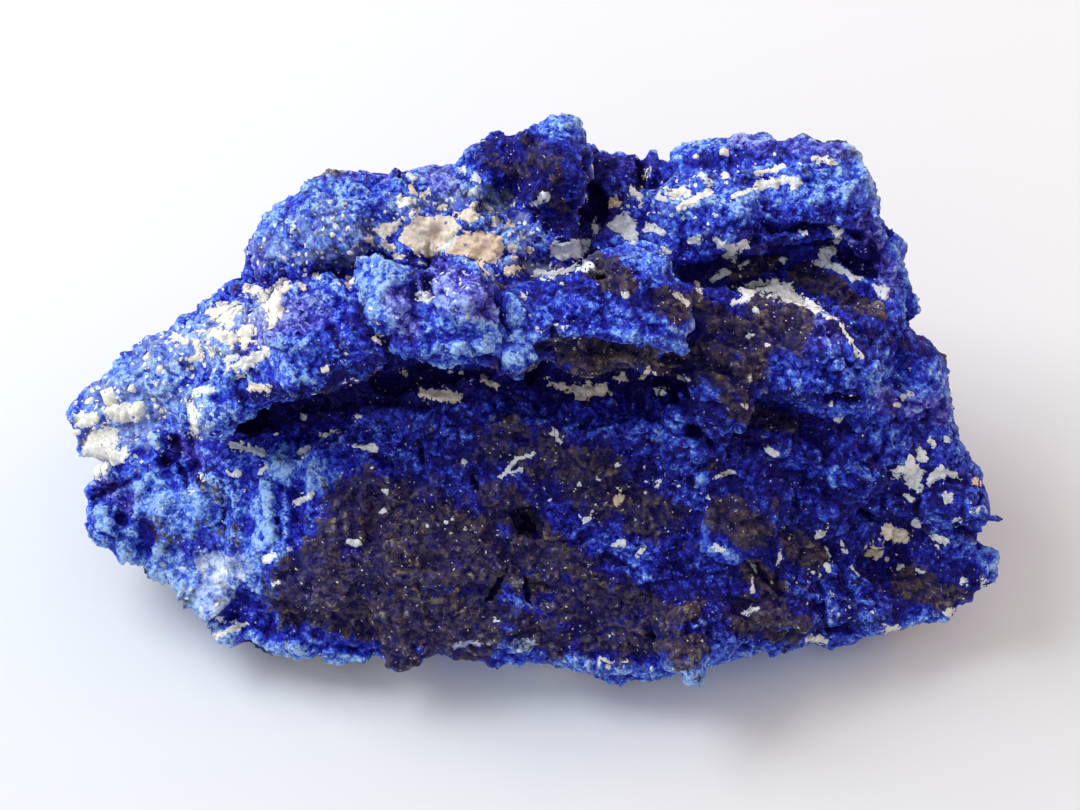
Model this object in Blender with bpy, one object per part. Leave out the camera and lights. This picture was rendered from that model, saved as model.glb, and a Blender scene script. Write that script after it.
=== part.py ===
"""A rough hand specimen of azurite on pale clay, grown together as one stone.

Millimetres in the tables, metres in Blender, +Z up. The stone rests on a flat fracture at z = 0, whose
middle is the origin, and the side it is shown from faces -Y. Places on that side are given as they are
seen from an eye tilted VIEW_TILT above the table: how far across, how far up, and the height there.
"""

import math

import bmesh
import bpy
from mathutils import Euler, Vector, noise

MM = 0.001
NAME = "azurite_specimen"

# How the display side is looked at.
VIEW_TILT = math.radians(58)
VIEW_DISTANCE = 300 * MM
AIM = Vector((0, 0, 20 * MM))

# How fine the solid is.
JOIN_CELL = 0.8 * MM        # the grid on which the lumps grow together
TRIANGLES = 9200            # kept after thinning
LUMP_ROUGHNESS = 0.10       # how far a lump departs from its round form, as a share of its size
BROAD_RELIEF = 1.5 * MM     # swells and sags over the whole stone,
BROAD_GRAIN = 13 * MM       # and how wide they are
KNOB_RELIEF = 0.9 * MM      # knobs and dents on those,
KNOB_GRAIN = 5 * MM         # and how wide they are

# Flat-sided masses: each is the hull of its corners.
# A corner is (across, up, height) as seen, or ("at", x, y, z) where it is out of sight.
MASSES = {
    "front": [
        # lower edge, left to right
        (-45.6, -12.5, 9), (-34.0, -19.8, 6), (-24.0, -23.4, 4.5), (-13.0, -25.4, 5.5), (2.0, -23.6, 6.5),
        (15.5, -26.2, 6), (32.0, -23.2, 5), (42.0, -20.8, 6), (45.0, -16.5, 9),
        # right edge, upwards
        (44.0, -10.5, 13), (40.4, -3.5, 18), (38.6, 1.7, 22), (34.6, 9.0, 26),
        # upper edge under the ridge
        (-33.5, -3.4, 18), (-24.0, -0.4, 22), (-11.0, 1.0, 24.5), (2.0, 1.4, 25.5), (16.0, 4.0, 29),
        (30.0, 6.6, 28),
        # foot
        ("at", -30, -9, -3), ("at", -10, -14, -3), ("at", 18, -16, -3), ("at", 34, -10, -3),
        ("at", 34, 6, -3), ("at", -28, 10, -3),
    ],
    "back": [
        (-29.0, 10.0, 24), (-22.5, 15.6, 28), (-8.0, 19.6, 30), (6.0, 19.6, 27), (19.0, 20.5, 30),
        (30.0, 20.0, 31), (32.0, 14.0, 29), (34.0, 8.0, 26), (-18.0, 5.0, 27), (14.0, 5.0, 29),
        ("at", -26, -8, -3), ("at", 30, -8, -3), ("at", -25, 15, -3), ("at", 0, 18, -3), ("at", 28, 14, -3),
        ("at", 31, 18, 14), ("at", 2, 23, 16), ("at", -26, 19, 12),
    ],
    "middle": [
        ("at", -22, 4, 27), ("at", -22, 12, 27), ("at", -8, 6, 32), ("at", 12, 4, 32), ("at", -8, 14, 32),
        ("at", 10, 12, 30), ("at", 27, 10, 30), ("at", 27, 2, 27), ("at", -20, 0, 10), ("at", 26, 0, 10),
        ("at", 0, 14, 10),
    ],
    "left_lobe": [
        (-47.8, -0.4, 13), (-47.4, -4.6, 11), (-42.2, 5.2, 16), (-36.2, 9.0, 19), (-29.2, 13.4, 23),
        (-25.0, 7.4, 25.5), (-30.0, 0.5, 20), (-38.0, -5.0, 14),
        ("at", -39, -1, 2), ("at", -35, 9, -3), ("at", -26, 14, -3), ("at", -43, 6, 8),
    ],
    "left_corner": [
        (-46.4, -7.0, 12), (-46.2, -12.6, 8), (-39.4, -16.4, 6), (-31.0, -4.6, 17.5), (-24.0, -3.4, 19.5),
        (-33.4, -19.4, 6), ("at", -32, -6, -3), ("at", -38, 0, 4),
    ],
}

# Rounded masses on them: (across, up, height) of the middle, half sizes, turn in degrees, squareness.
LUMPS = {
    # the ridge, left to right
    "ledge_finger": ((-30.6, -0.2, 23.0), (5.0, 2.8, 2.8), (0, -14, 14), 2.6),
    "ledge_finger_end": ((-33.2, -1.6, 21.0), (2.2, 2.4, 2.4), (0, 0, 0), 2.2),
    "ledge_block": ((-22.0, 7.0, 30.6), (4.9, 4.8, 4.0), (14, -8, 22), 5.0),
    "ledge_block_foot": ((-23.4, 3.6, 28.0), (4.2, 2.2, 2.8), (0, 0, 8), 3.4),
    "ledge_block_end": ((-17.6, 6.2, 31.6), (3.0, 2.6, 2.4), (0, 0, 0), 2.4),
    "ledge_root": ((-27.0, 4.2, 24.6), (5.4, 4.6, 4.4), (0, -10, 14), 2.6),
    "knob_left": ((-14.9, 10.6, 36.2), (4.1, 4.6, 5.0), (0, 0, 0), 2.4),
    "knob_left_cheek": ((-16.6, 7.8, 34.8), (2.6, 2.6, 3.0), (0, 0, 0), 2.2),
    "knob_middle": ((-8.0, 9.8, 36.8), (3.9, 5.0, 4.8), (0, 0, 12), 2.5),
    "knob_tip": ((-11.0, 6.6, 36.0), (3.3, 2.4, 2.8), (0, 10, -12), 3.0),
    "ridge_neck": ((-2.2, 7.6, 34.4), (4.2, 3.8, 3.6), (0, 6, 0), 2.4),
    "ridge_fang": ((-1.3, 5.4, 34.2), (2.0, 1.8, 2.4), (0, 0, 20), 2.4),
    "ridge_saddle": ((3.6, 9.0, 34.8), (4.6, 3.6, 3.2), (0, 0, 6), 2.4),
    "ridge_hump": ((8.8, 11.2, 36.4), (4.6, 4.4, 4.4), (0, 0, 14), 2.6),
    "ridge_end": ((12.4, 8.2, 35.0), (3.0, 3.6, 3.8), (0, 8, -12), 3.0),
    "under_ridge_left": ((4.2, 5.2, 30.4), (3.2, 2.4, 2.8), (8, 0, 0), 4.4),
    "under_ridge_right": ((10.8, 5.2, 30.4), (2.4, 2.4, 2.6), (8, 0, 0), 5.0),
    # the back rim, left to right
    "rim_nub": ((-27.2, 13.4, 22.0), (2.0, 2.8, 4.6), (0, 0, 0), 2.2),
    "rim_shoulder": ((-23.8, 15.2, 28.2), (3.8, 4.6, 5.4), (0, 0, 0), 2.4),
    "rim_boss": ((-20.2, 17.8, 30.8), (4.4, 5.0, 6.0), (0, 0, 0), 2.4),
    "rim_wall": ((-13.2, 19.0, 31.2), (5.8, 4.6, 5.2), (0, 0, 6), 2.4),
    "rim_bank": ((-7.0, 20.8, 32.6), (3.4, 3.6, 4.4), (0, 0, 0), 2.6),
    "rim_knob": ((-4.8, 24.0, 34.0), (3.0, 3.4, 3.8), (0, 0, 0), 2.5),
    "rim_peak": ((1.2, 23.0, 35.4), (3.5, 4.6, 6.0), (10, 6, 10), 3.2),
    "rim_peak_foot": ((1.6, 17.8, 31.6), (3.4, 3.2, 4.0), (0, 0, 0), 3.0),
    "rim_saddle": ((8.4, 20.8, 27.2), (6.0, 4.6, 4.0), (0, 0, 0), 2.6),
    "rim_saddle_tooth": ((4.9, 23.6, 30.0), (1.3, 2.4, 4.0), (0, 0, 0), 2.4),
    "slab": ((21.8, 18.8, 32.0), (11.8, 4.8, 3.0), (14, -7, 13), 3.6),
    "slab_root": ((12.0, 17.2, 30.0), (3.6, 4.0, 3.2), (0, 0, 0), 2.4),
    "slab_crest": ((17.2, 23.8, 32.2), (4.4, 3.0, 3.2), (0, 0, 0), 2.6),
    "slab_crest_right": ((22.2, 23.8, 32.4), (3.2, 2.8, 3.0), (0, 0, 0), 2.6),
    "slab_shoulder": ((27.4, 22.0, 33.4), (4.6, 4.0, 3.4), (0, 0, 0), 2.5),
    "slab_end": ((31.2, 18.4, 32.4), (2.6, 4.0, 3.2), (0, 0, 0), 2.4),
    # the floor between ridge and rim
    "clay_bank": ((-7.4, 15.4, 31.2), (6.8, 4.6, 3.4), (24, 0, 0), 2.8),
    "clay_floor": ((4.6, 14.4, 29.4), (5.6, 4.6, 2.8), (10, 0, 0), 2.6),
    # the right flank
    "layer_upper": ((23.4, 13.6, 27.6), (10.6, 3.6, 2.4), (0, 4, -8), 3.4),
    "layer_lower": ((26.0, 9.4, 27.4), (8.8, 3.6, 2.8), (0, 6, -12), 3.4),
    "flank_fold": ((33.6, 13.6, 26.2), (1.8, 5.4, 5.6), (0, 0, 16), 2.8),
    "flank_shoulder": ((34.4, 8.2, 24.8), (2.6, 4.0, 4.6), (0, 0, 0), 2.6),
    "flank_spur": ((36.6, 3.0, 22.4), (3.0, 4.2, 3.2), (0, 0, 26), 3.0),
    "flank_spur_tip": ((39.6, -0.6, 19.6), (2.0, 2.4, 2.4), (0, 0, 0), 2.4),
    "dome": ((25.0, 5.2, 26.8), (8.4, 5.0, 4.4), (0, 4, -10), 2.8),
    "dome_end": ((30.8, 2.2, 24.2), (4.0, 3.8, 3.8), (0, 0, 0), 2.6),
    # knobs of the front
    "stair_upper": ((18.2, 1.6, 27.0), (3.0, 4.0, 3.4), (30, 8, -14), 4.0),
    "stair_blue": ((14.6, -1.6, 24.0), (2.8, 3.2, 2.8), (30, 0, 10), 2.8),
    "stair_lower": ((15.2, -6.0, 20.4), (3.2, 3.2, 2.6), (30, 0, -6), 3.0),
    "round_knob": ((20.2, -11.6, 16.0), (4.4, 4.4, 3.6), (40, 0, 0), 2.6),
    "right_knob": ((31.6, -5.2, 18.4), (4.6, 3.6, 3.0), (30, 0, -14), 3.0),
    "right_knob_low": ((27.0, -9.0, 15.6), (3.4, 3.4, 2.6), (30, 0, 20), 3.0),
    "corner_upper": ((39.2, -4.6, 17.4), (3.0, 3.4, 3.2), (20, 0, 0), 3.0),
    "corner_block": ((40.8, -9.4, 14.2), (3.8, 3.4, 3.2), (20, 14, -10), 3.6),
    "corner_nub": ((44.4, -16.4, 9.2), (1.7, 1.8, 1.7), (0, 0, 0), 2.2),
    "lower_block": ((15.6, -22.2, 9.8), (3.3, 3.6, 3.4), (34, 6, 38), 4.2),
    "lower_knob": ((23.4, -19.4, 10.0), (3.4, 3.4, 2.8), (30, 0, 8), 3.0),
    "lower_knob_right": ((31.0, -18.6, 8.8), (4.6, 3.4, 2.6), (30, 0, -8), 2.8),
    "left_swell": ((-24.0, -13.8, 11.2), (8.0, 6.0, 3.2), (30, -8, -14), 2.8),
    "left_tongue": ((-26.6, -9.8, 14.4), (1.5, 4.6, 1.9), (40, 0, -4), 2.6),
    "left_crumb": ((-43.0, -12.0, 10.4), (2.4, 2.6, 2.2), (0, 0, 0), 2.4),
    "brown_swell": ((-8.6, -17.4, 10.6), (8.6, 6.4, 3.0), (42, 0, 6), 3.0),
    "brown_tip": ((-13.0, -24.4, 6.4), (2.6, 2.0, 2.4), (0, 0, 45), 3.6),
    "skirt_left": ((-24.0, -22.6, 4.4), (8.6, 2.4, 1.8), (0, 0, -10), 2.8),
    "skirt_middle": ((-3.6, -22.4, 4.8), (6.6, 2.2, 1.8), (0, 0, 4), 2.8),
    "skirt_right": ((8.6, -24.8, 3.6), (6.6, 2.4, 1.9), (0, 0, -8), 2.8),
    # the back and the sides, out of sight
    "back_knuckle_left": (("at", -20, 17, 10), (7.0, 4.6, 6.0), (0, 0, 12), 2.8),
    "back_knuckle_middle": (("at", -3, 20, 12), (8.6, 4.6, 7.0), (0, 0, -4), 2.8),
    "back_ledge": (("at", 10, 22, 20), (9.0, 3.6, 3.0), (0, 10, -4), 3.2),
    "back_knuckle_right": (("at", 21, 17, 8), (8.0, 4.6, 5.4), (0, 0, -10), 2.8),
    "right_knuckle": (("at", 36, 4, 10), (4.0, 6.4, 5.4), (0, 0, 8), 2.8),
    "lobe_keel": (("at", -37, 8, 7), (5.6, 4.6, 4.2), (0, 0, 20), 2.6),
}

# Cuts into the joined stone, given the same way.
HOLLOWS = {
    "under_ridge": ((4.6, 1.9, 25.4), (11.0, 3.8, 2.9), (0, 0, 2), 3.0),
    "under_knobs": ((-11.4, 3.6, 27.4), (9.4, 4.2, 3.9), (0, -6, 4), 2.8),
    "under_block": ((-25.2, -1.2, 21.0), (6.8, 3.4, 3.2), (0, -14, 12), 2.6),
    "behind_knobs": ((-9.0, 15.2, 37.6), (8.0, 2.6, 3.8), (0, 0, 4), 2.4),
    "behind_ridge": ((5.6, 15.0, 34.6), (5.0, 3.2, 3.6), (0, 0, 8), 2.4),
    "under_slab": ((22.6, 14.0, 30.4), (10.4, 2.8, 2.2), (0, -4, 8), 2.8),
    "between_layers": ((27.0, 11.4, 30.0), (7.0, 1.8, 1.9), (0, 6, -12), 2.8),
    "under_dome": ((24.6, -0.8, 24.4), (8.2, 2.0, 2.4), (0, 4, -12), 2.6),
    "beside_stair": ((21.0, -3.8, 23.0), (2.0, 2.4, 2.2), (30, 0, 0), 2.4),
    "left_fissure": ((-36.6, -6.4, 15.4), (6.4, 1.1, 2.6), (0, -22, 28), 2.6),
    "lobe_gully": ((-26.4, 8.6, 26.6), (1.8, 5.0, 2.4), (0, 0, -22), 2.4),
    "saddle_cleft": ((5.2, 19.6, 32.5), (1.2, 4.6, 4.0), (0, 0, -8), 2.4),
    "corner_hollow": ((37.2, -12.0, 13.2), (1.6, 1.8, 2.4), (0, 0, 0), 2.4),
    "lower_right_dish": ((36.4, -16.6, 10.6), (5.0, 2.6, 1.8), (0, 0, -10), 2.4),
    "square_pit": ((-1.3, -11.7, 15.5), (1.3, 1.4, 2.6), (46, 0, 8), 6.0),
    "crack_left": ((-4.0, -18.0, 11.4), (0.8, 1.7, 2.4), (46, 0, -24), 2.6),
    "crack_right": ((-0.8, -18.4, 11.4), (0.7, 1.9, 2.4), (46, 0, 4), 2.6),
}


def seen(across, up, height):
    """The point at this height that is seen this far across and up from the middle of the view."""
    to_eye = Vector((0, -math.cos(VIEW_TILT), math.sin(VIEW_TILT)))
    view_up = Vector((0, math.sin(VIEW_TILT), math.cos(VIEW_TILT)))
    eye = AIM + to_eye * VIEW_DISTANCE
    ray = AIM + Vector((across * MM, 0, 0)) + view_up * (up * MM) - eye
    return eye + ray * ((height * MM - eye.z) / ray.z)


def corner(place):
    if place[0] == "at":
        return Vector(place[1:]) * MM
    return seen(*place)


def add_mass(bm, corners):
    """Adds the hull of the corners."""
    made = [bm.verts.new(corner(place)) for place in corners]
    hull = bmesh.ops.convex_hull(bm, input=made)
    bmesh.ops.delete(bm, geom=list(set(hull["geom_interior"] + hull["geom_unused"])), context="VERTS")


def add_lump(bm, middle, half_sizes, turn, squareness, roughness):
    """Adds a rounded block: 2 is an ellipsoid, and a higher squareness has flatter sides."""
    centre = corner(middle)
    rotation = Euler([math.radians(a) for a in turn]).to_matrix()
    ball = bmesh.ops.create_icosphere(bm, subdivisions=3, radius=1)["verts"]
    for vert in ball:
        direction = vert.co.normalized()
        reach = sum(abs(c) ** squareness for c in direction) ** (-1 / squareness)
        reach *= 1 + roughness * noise.noise(direction * 1.7 + centre / (4 * MM))
        local = Vector([c * reach * half * MM for c, half in zip(direction, half_sizes)])
        vert.co = centre + rotation @ local


def mesh_object(name, bm):
    mesh = bpy.data.meshes.new(name)
    bm.to_mesh(mesh)
    bm.free()
    made = bpy.data.objects.new(name, mesh)
    bpy.context.scene.collection.objects.link(made)
    return made


def grown_together(obj, cell):
    """Unites overlapping bodies on a fine grid."""
    remesh = obj.modifiers.new("grown_together", "REMESH")
    remesh.mode = "VOXEL"
    remesh.voxel_size = cell


def apply_modifiers(obj):
    graph = bpy.context.evaluated_depsgraph_get()
    mesh = bpy.data.meshes.new_from_object(obj.evaluated_get(graph))
    obj.modifiers.clear()
    obj.data = mesh


def build_masses():
    bm = bmesh.new()
    for corners in MASSES.values():
        add_mass(bm, corners)
    for lump in LUMPS.values():
        add_lump(bm, *lump, roughness=LUMP_ROUGHNESS)
    stone = mesh_object(NAME, bm)
    grown_together(stone, JOIN_CELL)
    apply_modifiers(stone)
    return stone


def build_hollows():
    bm = bmesh.new()
    for hollow in HOLLOWS.values():
        add_lump(bm, *hollow, roughness=LUMP_ROUGHNESS)
    cutter = mesh_object("hollows", bm)
    grown_together(cutter, JOIN_CELL)
    cutter.hide_render = True
    cutter.display_type = "WIRE"
    return cutter


def carve(stone, cutter):
    cut = stone.modifiers.new("hollows", "BOOLEAN")
    cut.operation = "DIFFERENCE"
    cut.object = cutter
    grown_together(stone, JOIN_CELL)
    apply_modifiers(stone)


def fill_voids(stone):
    """Keeps the outer skin alone, so that the gaps shut in between masses are solid."""
    bm = bmesh.new()
    bm.from_mesh(stone.data)
    left = set(bm.verts)
    skins = []
    while left:
        front = [left.pop()]
        skin = set(front)
        while front:
            vert = front.pop()
            near = {edge.other_vert(vert) for edge in vert.link_edges} & left
            left -= near
            skin |= near
            front += near
        skins.append(skin)
    skins.sort(key=len)
    for skin in skins[:-1]:
        bmesh.ops.delete(bm, geom=list(skin), context="VERTS")
    bm.to_mesh(stone.data)
    bm.free()


def roughen(stone):
    """Knobs and dents along the surface, stretched along the bedding, which runs across."""
    stretch = Vector((0.7, 1.0, 1.15))
    moves = []
    for vert in stone.data.vertices:
        place = vert.co * stretch
        swells = noise.noise(place / BROAD_GRAIN + Vector((3.7, 0, 0)))
        knobs = 0.8 - 1.3 * noise.voronoi(place / KNOB_GRAIN)[0][0]
        ripples = noise.fractal(place / KNOB_GRAIN * 1.8, 0.9, 2.1, 3)
        moves.append(vert.normal * (swells * BROAD_RELIEF + (knobs + ripples) * KNOB_RELIEF))
    for vert, move in zip(stone.data.vertices, moves):
        vert.co += move


def thin_out(stone, count):
    stone.data.calc_loop_triangles()
    thin = stone.modifiers.new("thinned", "DECIMATE")
    thin.ratio = count / len(stone.data.loop_triangles)
    apply_modifiers(stone)


def cut_foot(stone):
    """The flat fracture that the stone rests on."""
    bm = bmesh.new()
    bm.from_mesh(stone.data)
    everything = bm.verts[:] + bm.edges[:] + bm.faces[:]
    down = (0, 0, -1)
    cut = bmesh.ops.bisect_plane(bm, geom=everything, plane_co=(0, 0, 0), plane_no=down, clear_outer=True)
    rim = [part for part in cut["geom_cut"] if isinstance(part, bmesh.types.BMEdge)]
    bmesh.ops.holes_fill(bm, edges=rim)
    bmesh.ops.triangulate(bm, faces=bm.faces)
    bm.to_mesh(stone.data)
    bm.free()


def azurite():
    made = bpy.data.materials.new("azurite")
    made.use_nodes = True
    shader = made.node_tree.nodes["Principled BSDF"]
    shader.inputs["Base Color"].default_value = (0.02, 0.035, 0.30, 1)
    shader.inputs["Roughness"].default_value = 0.55
    shader.inputs["Metallic"].default_value = 0.0
    return made


def main():
    for obj in list(bpy.data.objects):
        bpy.data.objects.remove(obj)
    stone = build_masses()
    carve(stone, build_hollows())
    roughen(stone)
    thin_out(stone, TRIANGLES)
    cut_foot(stone)
    fill_voids(stone)
    stone.data.materials.append(azurite())
    stone.data.shade_smooth()


main()
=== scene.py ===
import math

import bmesh
import bpy
import numpy as np
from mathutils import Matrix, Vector, noise
from mathutils.bvhtree import BVHTree


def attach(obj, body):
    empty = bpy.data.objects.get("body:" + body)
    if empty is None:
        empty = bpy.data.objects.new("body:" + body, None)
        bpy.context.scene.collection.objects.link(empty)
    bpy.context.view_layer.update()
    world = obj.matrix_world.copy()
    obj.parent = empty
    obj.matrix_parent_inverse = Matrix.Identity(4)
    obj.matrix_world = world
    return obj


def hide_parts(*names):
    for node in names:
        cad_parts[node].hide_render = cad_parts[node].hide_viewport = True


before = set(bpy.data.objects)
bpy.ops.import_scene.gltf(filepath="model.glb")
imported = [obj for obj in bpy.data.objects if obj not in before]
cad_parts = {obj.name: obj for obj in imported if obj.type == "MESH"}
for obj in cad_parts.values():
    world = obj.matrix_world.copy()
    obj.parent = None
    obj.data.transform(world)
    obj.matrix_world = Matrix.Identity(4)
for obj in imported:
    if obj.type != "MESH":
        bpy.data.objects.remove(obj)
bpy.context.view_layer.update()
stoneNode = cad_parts["azurite_specimen"]
mm = 0.001
noise.seed_set(8)               # so that every run gives the same stone

# The eye that the marks below are placed from, and the pixels across and down its view.
eye = {
    "tilt": math.radians(58),       # above the table
    "distance": 300 * mm,
    "aim": Vector((0, 0, 20 * mm)),
    "lens": 100,                    # mm
    "sensor": 36,                   # mm across
    "width": 1080,                  # pixels
    "height": 810,
    "grazing": -0.1,                # a face turned further from it than this isn't seen
    "clear": 0.5,                   # mm off the surface that a sight line starts
}


def eyeAxes():
    back = Vector((0, -math.cos(eye["tilt"]), math.sin(eye["tilt"])))
    upward = Vector((0, math.sin(eye["tilt"]), math.cos(eye["tilt"])))
    return eye["aim"] + back * eye["distance"], back, upward


def toPixels(points):
    # Where points of the stone are seen, as an array of x and y.
    place, back, upward = eyeAxes()
    away = points - np.array(place)
    depth = -away @ np.array(back)
    perPixel = eye["sensor"] / eye["lens"] / eye["width"] * depth
    x = eye["width"] / 2 + away[:, 0] / perPixel
    y = eye["height"] / 2 - away @ np.array(upward) / perPixel
    return np.column_stack([x, y])


def rayThrough(x, y):
    # The eye's place, and the way from it through a pixel of its view.
    place, back, upward = eyeAxes()
    perPixel = eye["sensor"] / eye["lens"] / eye["width"]
    right = Vector((1, 0, 0)) * ((x - eye["width"] / 2) * perPixel)
    up = upward * ((eye["height"] / 2 - y) * perPixel)
    return place, (right + up - back).normalized()


# Marks are strokes of x, y, x, y and half width, in pixels. The number before a mark's strokes is how
# strong it is, where nothing else is said.
farOutside = -9.0               # of any mark

# Brown-black faces, where the blue crust has broken away. On the lower and middle front faces the brown also
# stands in for a warm reflection on the dark crust, and leftGlints paints grey-brown glints: painted
# reflection.
brownMarks = {
    "lowerFace": (0.9, [(300, 590, 470, 628, 34), (362, 520, 470, 556, 44), (390, 600, 470, 640, 30),
        (330, 560, 400, 580, 30), (392, 650, 412, 664, 12)]),
    "middleFace": (0.62, [(520, 560, 610, 610, 34), (560, 620, 640, 640, 22), (500, 440, 600, 470, 26),
        (580, 480, 660, 520, 26), (500, 500, 560, 560, 20), (470, 620, 560, 636, 20)]),
    "underRidge": (1.0, [(556, 350, 626, 354, 14), (580, 368, 618, 368, 9), (648, 358, 674, 364, 11)]),
    "ridgeTop": (0.9, [(598, 266, 622, 282, 14), (664, 298, 680, 312, 12)]),
    "dome": (0.7, [(758, 306, 800, 322, 16), (735, 330, 790, 340, 16), (705, 356, 750, 366, 20),
        (690, 300, 730, 330, 12)]),
    "layers": (0.9, [(735, 272, 772, 262, 8), (800, 274, 836, 288, 11), (850, 300, 880, 312, 8)]),
    "peak": (0.42, [(535, 150, 556, 175, 14), (490, 160, 520, 172, 9), (545, 195, 570, 212, 9)]),
    "stair": (0.8, [(720, 360, 735, 400, 16), (735, 410, 790, 425, 10)]),
    "roundKnob": (1.0, [(728, 515, 752, 532, 20)]),
    "lowerRight": (0.85, [(792, 545, 816, 558, 13), (752, 572, 776, 588, 12), (750, 615, 790, 628, 18),
        (905, 580, 950, 600, 15)]),
    "chunk": (0.9, [(660, 618, 690, 612, 12), (672, 640, 700, 644, 11), (640, 600, 660, 612, 9)]),
    "leftSlate": (0.26, [(150, 525, 185, 560, 14), (200, 525, 228, 548, 13), (222, 500, 236, 540, 7)]),
    "leftGlints": (0.4, [(205, 482, 218, 500, 7), (238, 526, 246, 540, 6), (150, 520, 175, 545, 12)]),
}

# Brighter, granular azure crust, and a lighter band along the skirt that is painted bounce light from the
# floor.
azureMarks = {
    "ridgeKnobs": (0.9, [(362, 262, 378, 300, 16), (385, 260, 400, 320, 14), (440, 290, 470, 330, 18)]),
    "ridgeLip": (0.8, [(470, 330, 540, 350, 16), (560, 305, 640, 325, 11), (640, 320, 690, 335, 9),
        (500, 315, 560, 315, 10)]),
    "block": (0.7, [(268, 340, 300, 378, 12), (290, 310, 340, 300, 14)]),
    "boss": (0.55, [(268, 200, 290, 260, 14), (300, 230, 360, 265, 22), (300, 180, 350, 200, 14)]),
    "backWall": (0.5, [(480, 205, 530, 235, 18), (430, 180, 500, 190, 10), (500, 250, 540, 268, 14)]),
    "slab": (0.6, [(700, 215, 780, 205, 14), (770, 195, 860, 185, 16), (850, 160, 876, 195, 14),
        (690, 140, 760, 145, 10), (650, 200, 700, 220, 12)]),
    "lobe": (0.75, [(120, 430, 190, 405, 20), (180, 340, 260, 310, 22), (110, 370, 160, 370, 14),
        (150, 395, 210, 370, 20), (85, 480, 120, 480, 12), (95, 500, 120, 545, 12)]),
    "leftFront": (1.1, [(140, 490, 180, 520, 26), (130, 540, 190, 585, 20), (200, 500, 260, 530, 24),
        (265, 480, 272, 545, 9), (280, 460, 350, 490, 16), (250, 570, 280, 610, 12)]),
    "streak": (0.9, [(692, 440, 700, 490, 6), (700, 490, 706, 545, 7), (657, 425, 660, 448, 7),
        (668, 500, 690, 500, 8), (716, 548, 750, 556, 6), (690, 620, 706, 676, 4)]),
    "rightFlank": (0.85, [(880, 350, 905, 390, 12), (835, 345, 880, 385, 12), (910, 402, 918, 406, 9),
        (880, 437, 902, 440, 10), (785, 460, 850, 480, 8), (930, 520, 985, 560, 7)]),
    "lowRight": (0.75, [(790, 580, 830, 600, 8), (830, 560, 880, 610, 6), (700, 560, 720, 590, 5),
        (640, 560, 650, 600, 8), (940, 530, 990, 545, 8), (990, 565, 1000, 572, 7)]),
    "toothTip": (1.0, [(684, 668, 712, 690, 10)]),
    # Painted light: the lower edge catches light thrown up from the floor.
    "skirtBounceLight": (0.6, [(205, 622, 270, 644, 6), (270, 646, 400, 664, 5), (440, 650, 560, 648, 5),
        (560, 656, 668, 668, 8), (692, 680, 708, 684, 8), (725, 657, 960, 614, 4)]),
}

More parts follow.
